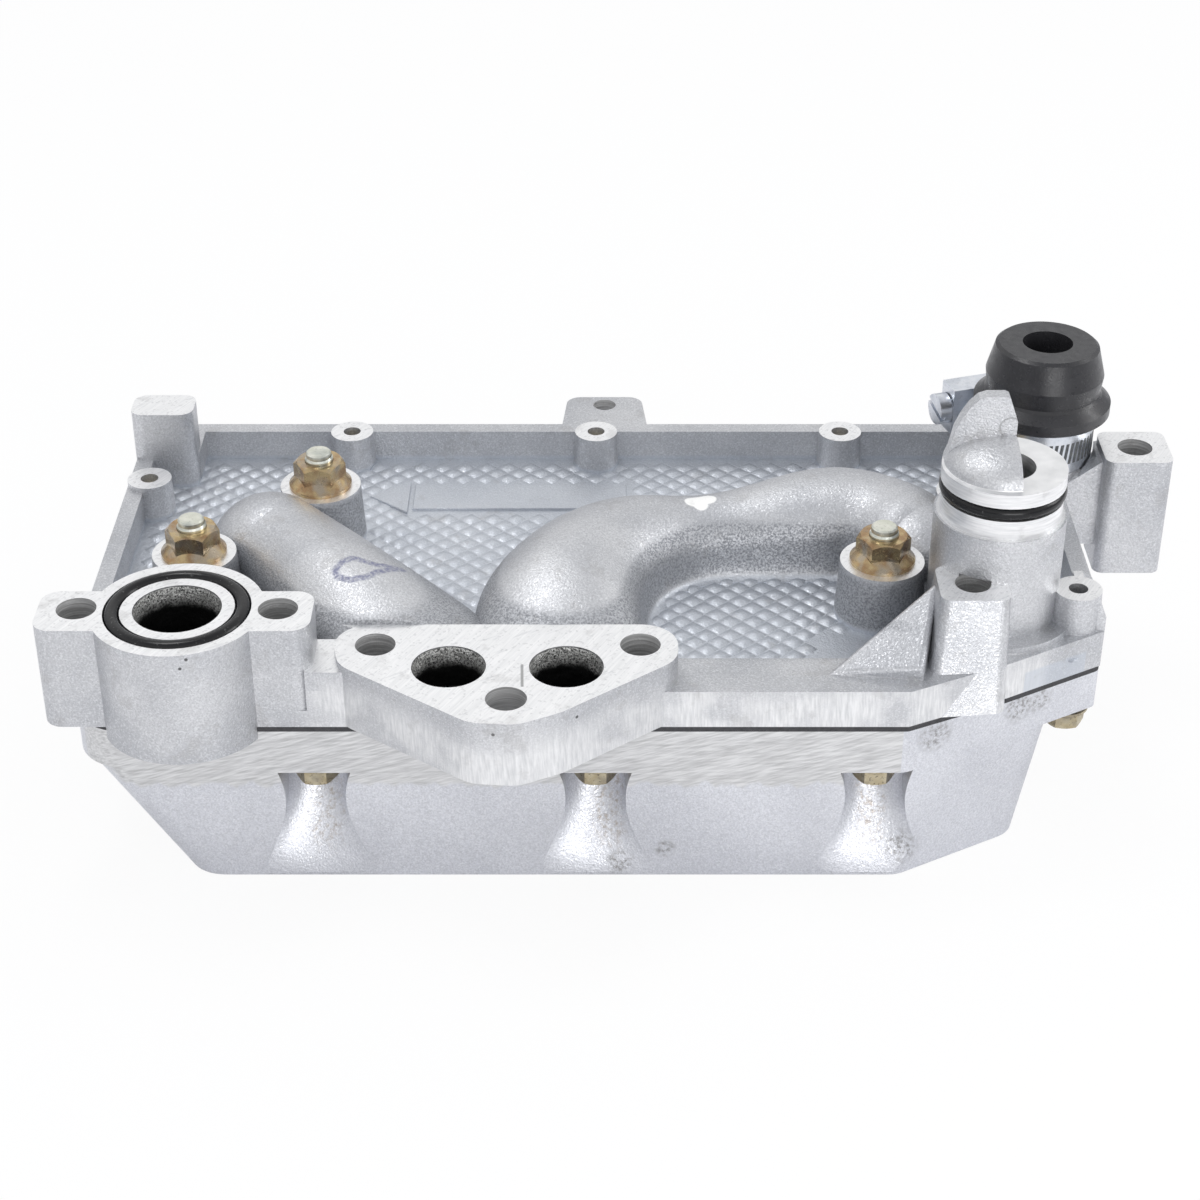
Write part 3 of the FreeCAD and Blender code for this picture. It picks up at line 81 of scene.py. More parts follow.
# Ground metal: its left end and top on the housing, its foot and right end on the cover
GROUND_LEFT, GROUND_TOP = -76, 62
BAND_FOOT, BAND_RIGHT = 33.5, 79.3
DRIP_Z = (8, 31)
DRIP_HALF_WIDTH = 6.2
# How far down a bore's wall turns from grey to black in painted shade, and how deep its rough grain
# carries painted glints
BORE_FADE = 12
GLINT_DEPTH = 3.4
# Drilled holes: place and radius
DRILLED = [((-135.0, -58.5), 5.2), ((-83.0, -58.5), 5.2), ((-58.4, -59.2), 5.3),
           ((10.5, -59.2), 5.3), ((-23.6, -84.1), 5.3), ((154.6, 29.0), 5.0),
           ((97.8, -46.0), 4.75), ((1.4, 84.9), 3.5)]

# Marks on the castings, in millimetres
PEN_LOOP = [(-53.2, -28.1), (-60.0, -29.9), (-66.5, -28.5), (-69.2, -30.4), (-70.9, -33.3),
            (-69.9, -35.9), (-66.6, -37.1), (-62.2, -35.7), (-59.7, -33.1), (-53.2, -28.1)]
PEN_HALF_WIDTH = 1.0
# Strokes of white paint: start, end and half width
PAINT_DAB = [((26.4, 8.0), (30.5, 9.6), 2.5), ((28.0, 7.2), (28.4, 6.4), 2.1)]
MARKED_ABOVE = FLOOR_TOP + 8
NOTCH = [(-20.0, -68.8), (-19.7, -78.4)]
NOTCH_HALF_WIDTH = 0.35
PIN_HOLES = [(-103.6, -80.3, 77.4), (-105.3, -80.7, 74.9), (-26.5, -95.1, 64.9),
             (-5.8, -87.0, 64.7)]
PIN_HOLE_RADIUS = 0.45
EJECTOR = (107.1, -27.6, 115.0)
EJECTOR_RING = (2.6, 3.1)
# Smudges on the cover: place and radius
SMUDGES = [((88.1, -65.5, 43.9), 4.5), ((81.2, -67.1, 8.0), 4.5), ((5.4, -68.1, 3.7), 3.5),
           ((17.5, -69.0, 9.1), 2.5), ((111.9, -53.7, 45.0), 4.5), ((118.1, -50.2, 44.6), 3.5)]

# Colours, light before dark
CAST = ((0.72, 0.725, 0.74), (0.56, 0.57, 0.595))
COVER_CAST = ((0.80, 0.81, 0.85), (0.70, 0.71, 0.75))
SAND = ((0.50, 0.51, 0.535), (0.25, 0.26, 0.28))
MILLED = ((0.96, 0.96, 0.96), (0.82, 0.825, 0.83))
GROUND = ((0.90, 0.90, 0.90), (0.68, 0.685, 0.69))
COVER_GROUND = ((0.76, 0.76, 0.76), (0.50, 0.50, 0.50))
TURNED = ((0.95, 0.95, 0.95), (0.74, 0.745, 0.75))
DRILLED_WALL = ((0.62, 0.62, 0.62), (0.36, 0.36, 0.36))
# Painted glints on the cast grain
GLINT = (0.95, 0.96, 0.98)
SCAR = (0.55, 0.56, 0.58)
PORE = (0.42, 0.42, 0.43)
FLOOR_BLUE = (0.58, 0.62, 0.68)
# Painted shade deep inside the cast bores
BORE_PAINTED_SHADE = (0.012, 0.012, 0.012)
INK = (0.15, 0.16, 0.27)
PAINT = (0.95, 0.95, 0.93)
# Painted shade in the notch and the pin holes
PIT_SHADE = (0.08, 0.08, 0.08)
RING_SHADE = (0.25, 0.25, 0.25)
GRIME = (0.36, 0.35, 0.34)
DRIP = (0.34, 0.27, 0.20)
SMUDGE = (0.20, 0.19, 0.18)

# Sockets of the mix node, which has a set for each kind of data
COLOR_A, COLOR_B, COLOR_OUT = 6, 7, 2
FLOAT_A, FLOAT_B, FLOAT_OUT = 2, 3, 0


# Node graphs

class Graph:
    """A material's node tree, written with short calls. Places and sizes are in millimetres."""

    def __init__(self, name):
        self.material = bpy.data.materials.new(name)
        self.material.use_nodes = True
        self.tree = self.material.node_tree
        self.shader = self.tree.nodes["Principled BSDF"]
        coordinates = self.add("ShaderNodeTexCoord").outputs["Object"]
        self.place = self.vector("SCALE", coordinates, scale=1 / MM)
        self.flat = self.vector("MULTIPLY", self.place, (1, 1, 0))
        parts = self.add("ShaderNodeSeparateXYZ")
        self.link(self.place, parts.inputs[0])
        self.x, self.y, self.z = parts.outputs
        facing = self.add("ShaderNodeSeparateXYZ")
        self.link(self.add("ShaderNodeNewGeometry").outputs["True Normal"], facing.inputs[0])
        _, self.ny, self.nz = facing.outputs

    def add(self, kind, **settings):
        node = self.tree.nodes.new(kind)
        for key, value in settings.items():
            setattr(node, key, value)
        return node

    def link(self, source, target):
        """Puts a value or another node's output into an input."""
        if isinstance(source, bpy.types.NodeSocket):
            self.tree.links.new(source, target)
        else:
            target.default_value = source

    def math(self, operation, first, second=0.0, clamp=False):
        node = self.add("ShaderNodeMath", operation=operation, use_clamp=clamp)
        self.link(first, node.inputs[0])
        self.link(second, node.inputs[1])
        return node.outputs[0]

    def vector(self, operation, first, second=(0, 0, 0), scale=None):
        node = self.add("ShaderNodeVectorMath", operation=operation)
        self.link(first, node.inputs[0])
        self.link(second, node.inputs[1])
        if scale is not None:
            self.link(scale, node.inputs["Scale"])
        return node.outputs["Value" if operation in ("DISTANCE", "DOT_PRODUCT") else "Vector"]

    def times(self, *values):
        result = values[0]
        for value in values[1:]:
            result = self.math("MULTIPLY", result, value)
        return result

    def either(self, *values):
        """The largest of the values."""
        result = values[0]
        for value in values[1:]:
            result = self.math("MAXIMUM", result, value)
        return result

    def least(self, *values):
        result = values[0]
        for value in values[1:]:
            result = self.math("MINIMUM", result, value)
        return result

    def opposite(self, value):
        return self.math("SUBTRACT", 1.0, value)

    def above(self, value, edge, soft=0.05):
        """0 below the edge and 1 above it, over a soft width."""
        node = self.add("ShaderNodeMapRange", interpolation_type="SMOOTHSTEP")
        self.link(value, node.inputs["Value"])
        node.inputs["From Min"].default_value = edge - soft
        node.inputs["From Max"].default_value = edge + soft
        return node.outputs["Result"]

    def below(self, value, edge, soft=0.05):
        return self.opposite(self.above(value, edge, soft))

    def between(self, value, low, high, soft=0.05):
        return self.times(self.above(value, low, soft), self.below(value, high, soft))

    def noise(self, size, detail=2.0, stretch=(1, 1, 1), rough=0.5, turn=(0, 0, 0)):
        """Noise whose grain has a size, drawn out along the axes and turned."""
        place = self.place
        if any(turn):
            turned = self.add("ShaderNodeMapping")
            self.link(place, turned.inputs["Vector"])
            turned.inputs["Rotation"].default_value = turn
            place = turned.outputs[0]
        mapping = self.add("ShaderNodeMapping")
        self.link(place, mapping.inputs["Vector"])
        mapping.inputs["Scale"].default_value = [1 / (size * share) for share in stretch]
        node = self.add("ShaderNodeTexNoise")
        self.link(mapping.outputs[0], node.inputs["Vector"])
        node.inputs["Scale"].default_value = 1.0
        node.inputs["Detail"].default_value = detail
        node.inputs["Roughness"].default_value = rough
        return node.outputs[0]

    def cells(self, size):
        """A random value in each small cell."""
        node = self.add("ShaderNodeTexVoronoi")
        self.link(self.place, node.inputs["Vector"])
        node.inputs["Scale"].default_value = 1 / size
        split = self.add("ShaderNodeSeparateColor")
        self.link(node.outputs["Color"], split.inputs[0])
        return split.outputs[0]

    def span(self, value, low, high, to_low, to_high):
        """The value's range from low to high, mapped to another range and held there."""
        node = self.add("ShaderNodeMapRange")
        self.link(value, node.inputs["Value"])
        for key, number in zip(("From Min", "From Max", "To Min", "To Max"),
                               (low, high, to_low, to_high)):
            node.inputs[key].default_value = number
        return node.outputs["Result"]

    def share(self, value, low, high):
        return self.span(value, low, high, 0, 1)

    def mix(self, share, first, second):
        node = self.add("ShaderNodeMix", data_type="RGBA")
        self.link(share, node.inputs[0])
        for color, number in ((first, COLOR_A), (second, COLOR_B)):
            self.link((*color, 1.0) if isinstance(color, tuple) else color, node.inputs[number])
        return node.outputs[COLOR_OUT]

    def blend(self, share, first, second):
        node = self.add("ShaderNodeMix", data_type="FLOAT")
        self.link(share, node.inputs[0])
        self.link(first, node.inputs[FLOAT_A])
        self.link(second, node.inputs[FLOAT_B])
        return node.outputs[FLOAT_OUT]

    def from_point(self, point):
        """Distance to a point."""
        return self.vector("DISTANCE", self.place, point)

    def from_axis(self, place):
        """Distance to an upright axis."""
        return self.vector("DISTANCE", self.flat, (*place, 0))

    def from_line(self, start, end):
        """Distance in plan to the line between two points."""
        run = Vector(end) - Vector(start)
        offset = self.vector("SUBTRACT", self.flat, (*start, 0))
        along = self.vector("DOT_PRODUCT", offset, (*run, 0))
        along = self.math("MULTIPLY", along, 1 / run.length_squared, clamp=True)
        foot = self.vector("SCALE", (*run, 0), scale=along)
        return self.vector("DISTANCE", offset, foot)

    def bump(self, height, distance, strength):
        node = self.add("ShaderNodeBump")
        self.link(strength, node.inputs["Strength"])
        node.inputs["Distance"].default_value = distance * MM
        self.link(height, node.inputs["Height"])
        return node.outputs[0]

    def finish(self, color, roughness, normal, metallic=0.0, specular=0.5):
        for key, value in (("Base Color", color), ("Roughness", roughness), ("Normal", normal),
                           ("Metallic", metallic), ("Specular IOR Level", specular)):
            self.link(value, self.shader.inputs[key])
        return self.material


# Materials

def cast_skin(g, tones):
    """Colour, roughness and height of a sand-fine cast skin."""
    light, dark = tones
    patches = g.noise(26, detail=3)
    grain = g.noise(0.55, rough=0.65)
    lumps = g.noise(1.4, detail=3, rough=0.65)
    glints = g.above(g.cells(0.34), 0.82, 0.12)
    color = g.mix(g.share(patches, 0.35, 0.65), light, dark)
    color = g.mix(g.span(grain, 0.3, 0.7, 0.5, 0), color, tuple(part * 0.6 for part in dark))
    # Painted glints: bright specks mixed into the colour of the grain
    color = g.mix(g.times(glints, 0.28), color, GLINT)
    rough = g.blend(glints, g.span(patches, 0.3, 0.7, 0.4, 0.5), 0.28)
    height = g.times(g.math("ADD", lumps, grain), 0.8)
    return color, rough, height


def machined_skin(g):
    """Colour and roughness of a bright milled face with faint tool marks, scratches and pores."""
    marks = g.noise(0.45, detail=3, stretch=(1, 22, 1), turn=(0, 0, 0.5))
    scars = g.above(g.noise(1.1, stretch=(1, 9, 1), turn=(0, 0, 1.0)), 0.66, 0.04)
    pores = g.above(g.cells(0.55), 0.93, 0.03)
    color = g.mix(g.share(marks, 0.3, 0.7), *reversed(MILLED))
    color = g.mix(g.times(scars, 0.3), color, SCAR)
    color = g.mix(g.times(pores, 0.28), color, PORE)
    return color, g.span(marks, 0.3, 0.7, 0.3, 0.44)


def brushed_skin(g, stretch, slant, tones):
    """Colour and roughness of a face with crossing strokes along one direction."""
    strokes = g.noise(0.5, detail=3, stretch=stretch, turn=(0, slant, 0))
    crossing = g.noise(0.7, stretch=stretch, turn=(0, slant * 0.2, 0))
    mixed = g.math("ADD", g.times(strokes, 0.6), g.times(crossing, 0.4))
    return g.mix(g.share(mixed, 0.35, 0.62), *reversed(tones)), g.span(mixed, 0.3, 0.7, 0.3, 0.5)


def layered(g, cast, worked, masks):
    """Lays worked skins over the cast one by their masks, and says where the grain stays."""
    color, rough, height = cast
    for (next_color, next_rough), mask in zip(worked, masks):
        color = g.mix(mask, color, next_color)
        rough = g.blend(mask, rough, next_rough)
    return color, rough, height, g.opposite(g.times(g.either(*masks), 0.85))


def milled_mask(g):
    """The upward faces at the levels that are milled."""
    off_level = g.least(*[g.math("ABSOLUTE", g.math("SUBTRACT", g.z, level))
                          for level in (BOSS_TOP, PORT_RIM, FLANGE_TOP, NUT_SEAT, MOUNT_TOP)])
    return g.times(g.above(g.nz, 0.985, 0.01), g.below(off_level, 0.12, 0.03))


def ground_mask(g, steep):
    """The rim's front edge and the flange's side, ground by hand in patches."""
    front = g.times(g.below(g.ny, -0.25, 0.1), g.below(g.z, RIM_TOP + 0.4, 0.3), steep,
                    g.below(g.y, FRONT_Y, 1))
    flange_side = g.times(steep, g.below(g.y, FLANGE_Y, 2), g.between(g.x, *FLANGE_X, 2),
                          g.below(g.z, FLANGE_TOP - 0.6, 0.3))
    patches = g.span(g.noise(14, detail=3), 0.38, 0.55, 0.25, 0.9)
    return g.times(g.either(front, flange_side), g.above(g.x, GROUND_LEFT, 3),
                   g.below(g.z, GROUND_TOP, 5), patches)


def gallery_mask(g, milled):
    """The galleries' cast skin, clear of milled faces and nut bosses."""
    off_stud = g.least(*[g.from_axis(stud) for stud in STUDS])
    return g.times(g.above(g.z, FLOOR_TOP + 1.5, 1.0), g.between(g.x, *GALLERIES_X, 3),
                   g.between(g.y, *GALLERIES_Y, 3), g.below(g.z, NUT_SEAT - 1, 1.0),
                   g.opposite(milled), g.above(off_stud, 10.5, 1.0))


def bore_shade(g):
    """Share of painted shade, from 0 at the mouths of the three cast bores to 1 deep inside them.
    """
    shades = []
    for bore, radius, top in [(OIL_BORES[0], OIL_BORE_RADIUS + 0.3, FLANGE_TOP - 0.4),
                              (OIL_BORES[1], OIL_BORE_RADIUS + 0.3, FLANGE_TOP - 0.4),
                              (WATER_BORE, WATER_BORE_RADIUS + 0.4, MOUNT_TOP - 0.5)]:
        depth = g.share(g.z, top, top - BORE_FADE)
        shades.append(g.times(g.below(g.from_axis(bore), radius, 0.1), depth))
    return g.either(*shades)


def housing_material():
    g = Graph("cast_housing_finish")
    steep = g.below(g.math("ABSOLUTE", g.nz), 0.25, 0.1)
    milled = milled_mask(g)
    turned = g.times(g.below(g.from_axis(SPIGOT), SPIGOT_RADIUS, 0.1),
                     g.between(g.z, SPIGOT_STEP, DISC_TOP + 0.2, 0.1))
    worked = [brushed_skin(g, (1, 1, 9), 0.06, GROUND), machined_skin(g),
              brushed_skin(g, (14, 14, 1), 0.0, TURNED)]
    color, rough, height, grain = layered(g, cast_skin(g, CAST), worked,
                                          [ground_mask(g, steep), milled, turned])
    # The galleries are darker and sandier, the tray's floor is bluer
    gallery = gallery_mask(g, milled)
    sand = g.noise(0.62, rough=0.75)
    color = g.mix(g.times(gallery, 0.8), color, g.mix(g.share(sand, 0.4, 0.6), *reversed(SAND)))
    rough = g.blend(gallery, rough, g.span(sand, 0.4, 0.6, 0.66, 0.46))
    floor = g.times(g.below(g.z, FLOOR_TOP + 1.2, 0.6), g.between(g.x, *TRAY_X),
                    g.between(g.y, *TRAY_Y))
    color = g.mix(g.times(floor, 0.6), color, FLOOR_BLUE)
    # Drilled walls are grey and ringed; cast bores get painted shade that turns black inside
    into_wall = g.least(*[g.math("SUBTRACT", g.from_axis(hole), radius)
                          for hole, radius in DRILLED])
    drilled = g.times(steep, g.below(g.z, MOUNT_TOP, 0.05), g.below(into_wall, 0.3, 0.1))
    rings = g.share(g.noise(0.5, stretch=(30, 30, 1)), 0.35, 0.65)
    color = g.mix(drilled, color, g.mix(rings, *reversed(DRILLED_WALL)))
    dark = bore_shade(g)
    color = g.mix(g.math("POWER", dark, 0.55), color, BORE_PAINTED_SHADE)
    # Pen loop, white paint, and painted shade in the notch, the pin holes and the ejector's ring
    raised = g.above(g.z, MARKED_ABOVE)
    off_pen = g.least(*[g.from_line(*ends) for ends in zip(PEN_LOOP, PEN_LOOP[1:])])
    inked = g.times(g.below(off_pen, PEN_HALF_WIDTH, 0.45), raised,
                    g.span(g.noise(0.9), 0.35, 0.6, 0.3, 0.85))
    color = g.mix(inked, color, INK)
    painted = g.times(raised, g.either(*[g.below(g.from_line(start, end), half, 0.3)
                                         for start, end, half in PAINT_DAB]))
    color = g.mix(painted, color, PAINT)
    notch = g.times(g.below(g.from_line(*NOTCH), NOTCH_HALF_WIDTH, 0.2), milled,
                    g.above(g.z, FLANGE_TOP - 0.5, 0.1))
    off_pit = g.least(*[g.from_point(pit) for pit in PIN_HOLES])
    pits = g.below(off_pit, PIN_HOLE_RADIUS, 0.12)
    # Painted shade darkens the notch and the pin holes
    color = g.mix(g.either(g.times(notch, 0.6), g.times(pits, 0.9)), color, PIT_SHADE)
    ring = g.times(g.between(g.from_point(EJECTOR), *EJECTOR_RING, 0.15), g.below(g.ny, -0.5, 0.2))
    color = g.mix(g.times(ring, 0.55), color, RING_SHADE)
    grime = g.above(g.noise(9, detail=4, rough=0.65), 0.62, 0.05)
    color = g.mix(g.times(grime, 0.22), color, GRIME)
    metallic = g.opposite(g.either(painted, g.times(inked, 0.8), g.times(dark, 0.9)))
    metallic = g.times(metallic, g.blend(drilled, 0.9, 0.3))
    return g.finish(color, rough, g.bump(height, 0.35, g.times(grain, 0.55)), metallic)


def cover_material():
    g = Graph("cast_cover_finish")
    steep = g.below(g.math("ABSOLUTE", g.nz), 0.3, 0.1)
    jagged = g.math("ADD", g.z, g.times(g.noise(5, detail=3, stretch=(1, 1, 3)), 6.0))
    band = g.times(steep, g.below(g.ny, -0.6, 0.1), g.above(jagged, BAND_FOOT, 0.8),
                   g.below(g.x, BAND_RIGHT, 0.2))
    color, rough, height, grain = layered(
        g, cast_skin(g, COVER_CAST), [brushed_skin(g, (12, 1, 1), 0.3, COVER_GROUND)], [band])
    # Dirty drips under the front bolt heads, and smudges
    off_bolt = g.least(*[g.math("ABSOLUTE", g.math("SUBTRACT", g.x, bolt))
                         for bolt in FRONT_BOLTS])
    wavy = g.math("ADD", off_bolt, g.times(g.noise(2.5, detail=3), 5.0))
    specks = g.span(g.noise(1.4, detail=4, rough=0.7), 0.48, 0.66, 0, 0.6)
    drip = g.times(g.below(wavy, DRIP_HALF_WIDTH, 1.6), g.between(g.z, *DRIP_Z, 5),
                   g.below(g.y, FRONT_Y, 1), specks)
    color = g.mix(drip, color, DRIP)
    spots = g.either(*[g.below(g.from_point(spot), radius, radius / 2)
                       for spot, radius in SMUDGES])
    blotches = g.span(g.noise(1.1, detail=4, rough=0.75), 0.45, 0.6, 0, 0.75)
    color = g.mix(g.times(spots, blotches), color, SMUDGE)
    return g.finish(color, rough, g.bump(height, 0.3, g.times(grain, 0.5)), 0.88)


def core_material():
    g = Graph("brazed_core_finish")
    color = g.mix(g.share(g.noise(5, detail=3), 0.35, 0.65), (0.66, 0.67, 0.68), (0.55, 0.56, 0.57))
    return g.finish(color, g.span(g.noise(2), 0.3, 0.7, 0.35, 0.5), g.bump(g.noise(0.6), 0.1, 0.4),
                    0.9)


def gasket_material():
    g = Graph("gasket_finish")
    color = g.mix(g.noise(0.8, detail=3), (0.02, 0.02, 0.022), (0.075, 0.075, 0.08))
    return g.finish(color, 0.8, g.bump(g.noise(0.5, detail=3), 0.15, 0.6))


def seal_material():
    g = Graph("seal_finish")
    dust = g.above(g.noise(0.9, detail=3), 0.68, 0.04)
    color = g.mix(dust, (0.006, 0.006, 0.007), (0.06, 0.06, 0.06))
    return g.finish(color, g.span(g.noise(1.5), 0.3, 0.7, 0.16, 0.28),
                    g.bump(g.noise(2.5), 0.08, 0.3), specular=0.35)


def boot_material():
    g = Graph("boot_rubber_finish")
    dust = g.above(g.noise(0.7, detail=4, rough=0.7), 0.64, 0.05)
    color = g.mix(g.noise(7, detail=3), (0.014, 0.014, 0.016), (0.034, 0.034, 0.038))
    color = g.mix(g.times(dust, 0.2), color, (0.2, 0.2, 0.21))
    return g.finish(color, g.span(g.noise(2.2, detail=3), 0.3, 0.7, 0.24, 0.4),
                    g.bump(g.noise(0.5), 0.08, 0.4))


def plated_material(name, tones, rough, dirt):
    """Zinc plate whose colour drifts between three tones."""
    g = Graph(name)
    base = g.mix(g.share(g.noise(3.2), 0.38, 0.62), tones[0], tones[1])
    color = g.mix(g.share(g.noise(4.5, detail=3), 0.48, 0.66), base, tones[2])
    specks = g.above(g.noise(0.8, detail=4, rough=0.7), 0.6, 0.06)
    color = g.mix(g.times(specks, dirt), color, (0.12, 0.10, 0.08))
    rough = g.math("ADD", rough, g.times(specks, 0.25))
    return g.finish(color, rough, g.bump(g.noise(0.7, detail=3), 0.06, 0.25), 0.98)


def shadow_material():
    """The dark seen through the slots of the clamp's band."""
    g = Graph("slot_shadow_finish")
    color = g.mix(g.share(g.noise(0.9, detail=3), 0.3, 0.7), (0.05, 0.055, 0.06),
                  (0.12, 0.125, 0.13))
    return g.finish(color, 0.7, g.bump(g.noise(0.6, detail=3), 0.2, 0.5))


def bore_shade_and_glint_material(name, mouth):
    """Rough cast wall of a bore, with painted glints on grey at the mouth and painted shade, black,
    further in.
    """
    g = Graph(name)
    # Painted glints: bright grey specks in the colour near the mouth
    glints = g.above(g.noise(0.5, detail=4, rough=0.85), 0.48, 0.05)
    color = g.mix(glints, (0.04, 0.04, 0.04), (0.78, 0.78, 0.76))
    # Painted shade: below the mouth the wall is painted nearly black
    near_mouth = g.above(g.math("ADD", g.z, g.times(g.noise(2), 2)), mouth - GLINT_DEPTH, 2.0)
    color = g.mix(near_mouth, (0.006, 0.006, 0.006), color)
    return g.finish(color, 0.45, g.bump(g.noise(1.2, detail=4, rough=0.7), 0.8, 0.9),
                    g.times(near_mouth, 0.8), specular=0.1)


SLOT_MATERIALS = {
    "cast_housing": housing_material(),
    "cast_cover": cover_material(),
    "core": core_material(),
    "gasket": gasket_material(),
    "seal": seal_material(),
    "boot": boot_material(),
    "stud": plated_material("stud_plate_finish", [
        (0.66, 0.67, 0.58), (0.78, 0.78, 0.70), (0.55, 0.57, 0.52)], 0.3, 0.2),
    "nut": plated_material("nut_plate_finish", [
        (0.34, 0.22, 0.12), (0.52, 0.40, 0.22), (0.40, 0.34, 0.26)], 0.18, 0.3),
    "bolt": plated_material("bolt_plate_finish", [
        (0.44, 0.37, 0.24), (0.56, 0.50, 0.36), (0.34, 0.30, 0.23)], 0.4, 0.7),
    "clamp": plated_material("clamp_plate_finish", [
        (0.66, 0.69, 0.74), (0.76, 0.78, 0.82), (0.58, 0.61, 0.66)], 0.28, 0.15),
}
OIL_BORE_SHADE_AND_GLINTS = bore_shade_and_glint_material("oil_bore_painted_shade_and_glints", FLANGE_TOP)
WATER_BORE_SHADE_AND_GLINTS = bore_shade_and_glint_material("water_bore_painted_shade_and_glints", MOUNT_TOP)
SHADOW_FINISH = shadow_material()

for entry in frame["record"]["subparts"]:
    node = frame["nodes"][entry["node"]]
    if not node.material_slots:
        node.data.materials.append(None)
    for material_slot in node.material_slots:
        material_slot.material = SLOT_MATERIALS[entry["material_slot"]]


# Pieces

def piece(name, points, faces, material, smooth=True):
    """A mesh in millimetres that rides on the part."""
    mesh = bpy.data.meshes.new(name)
    mesh.from_pydata([(x * MM, y * MM, z * MM) for x, y, z in points], [], faces)
    mesh.validate()
    mesh.polygons.foreach_set("use_smooth", [smooth] * len(mesh.polygons))
    made = bpy.data.objects.new(name, mesh)
    bpy.context.scene.collection.objects.link(made)
    mesh.materials.append(material)
    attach(made, "root")


def inside(point, corners):
    """Whether a point in plan is inside a polygon."""
    x, y = point
    hit = False
    for (ax, ay), (bx, by) in zip(corners, corners[1:] + corners[:1]):
        if (ay > y) != (by > y) and x < (bx - ax) * (y - ay) / (by - ay) + ax:
            hit = not hit
    return hit


# The tray's floor: rows of pyramids, and smooth areas round the panel, its head and the gusset
PYRAMID_PITCH_X, PYRAMID_PITCH_Y = 6.7, 3.5
PYRAMID_HEIGHT = 0.75
# Each ring's share of the half pitch and of the height
PYRAMID_RINGS = [(0.93, 0.0), (0.62, 0.66), (0.3, 0.95)]
PYRAMID_SIDES = 8
PYRAMID_WAIST = 0.74
RELIEF_START_X, RELIEF_END_X = -128.5, 128.0
RELIEF_START_Y, RELIEF_END_Y = -43.5, 65.0
PANEL = [(-55.7, 49.6), (8.0, 49.6), (8.0, 35.3), (-55.7, 35.3)]
PANEL_HEAD = [(-57.0, 51.0), (-68.8, 43.0), (-57.0, 33.0)]
PANEL_THICK = 0.7
PANEL_BEVEL = 0.3
SMOOTH_AREAS = [
    [(-54.0, 52.5), (12.0, 52.5), (12.0, 32.4), (-54.0, 32.4)],
    [(-54.0, 54.5), (-71.0, 43.0), (-54.0, 30.0)],
    [(54.5, -50.0), (56.0, -38.5), (67.0, -29.0), (96.0, -29.0), (96.0, -50.0)],
]
# How far a piece's foot sinks into what carries it
SEAT = 0.05


def add_pyramid(points, faces, x, y):
    """One worn pyramid, as rings of corners under a tip."""
    first = len(points)
    height = PYRAMID_HEIGHT * (0.85 + 0.3 * noise.noise(Vector((x * 0.06, y * 0.06, 3.1))))
    for share, lift in PYRAMID_RINGS:
        for k in range(PYRAMID_SIDES):
            angle = 2 * math.pi * k / PYRAMID_SIDES
            reach = share * (PYRAMID_WAIST if k % 2 else 1.0)
            points.append((x + PYRAMID_PITCH_X / 2 * reach * math.cos(angle),
                           y + PYRAMID_PITCH_Y * reach * math.sin(angle),
                           FLOOR_TOP - SEAT + height * lift))
    points.append((x, y, FLOOR_TOP + height))
    last = first + PYRAMID_SIDES * (len(PYRAMID_RINGS) - 1)
    for ring in range(first, last, PYRAMID_SIDES):
        for k in range(PYRAMID_SIDES):
            a, b = ring + k, ring + (k + 1) % PYRAMID_SIDES
            faces.append((a, b, b + PYRAMID_SIDES, a + PYRAMID_SIDES))
    for k in range(PYRAMID_SIDES):
        faces.append((last + k, last + (k + 1) % PYRAMID_SIDES, len(points) - 1))


def make_floor_relief():
    points, faces = [], []
    row = 0
    y = RELIEF_START_Y
    while y < RELIEF_END_Y:
        x = RELIEF_START_X + (PYRAMID_PITCH_X / 2 if row % 2 else 0)
        while x < RELIEF_END_X:
            if not any(inside((x, y), area) for area in SMOOTH_AREAS):
                add_pyramid(points, faces, x, y)
            x += PYRAMID_PITCH_X
        y += PYRAMID_PITCH_Y
        row += 1
    piece("floor_relief", points, faces, SLOT_MATERIALS["cast_housing"])


def make_plate(name, corners):
    """A flat plate on the tray's floor with a small chamfer round its top."""
    middle = Vector((sum(x for x, _ in corners), sum(y for _, y in corners))) / len(corners)
    low, high = FLOOR_TOP - 0.1, FLOOR_TOP + PANEL_THICK
    count = len(corners)
    points = [(x, y, low) for x, y in corners]
    points += [(x, y, high - PANEL_BEVEL * 0.6) for x, y in corners]
    for corner in corners:
        pulled = Vector(corner) - (Vector(corner) - middle).normalized() * PANEL_BEVEL
        points.append((*pulled, high))
    faces = [tuple(range(2 * count, 3 * count))]
    for level in (0, 1):
        for k in range(count):
            a, b = level * count + k, level * count + (k + 1) % count
            faces.append((a, b, b + count, a + count))
    piece(name, points, faces, SLOT_MATERIALS["cast_housing"], smooth=False)


THREAD_RADIUS = 3.75
THREAD_PITCH = 1.25
THREAD_DEPTH = 0.28
THREAD_FOOT = 0.46 * THREAD_PITCH
THREAD_LOW, THREAD_HIGH = STUD_TOP - 5.6, STUD_TOP - 1.3
THREAD_STEPS = 28


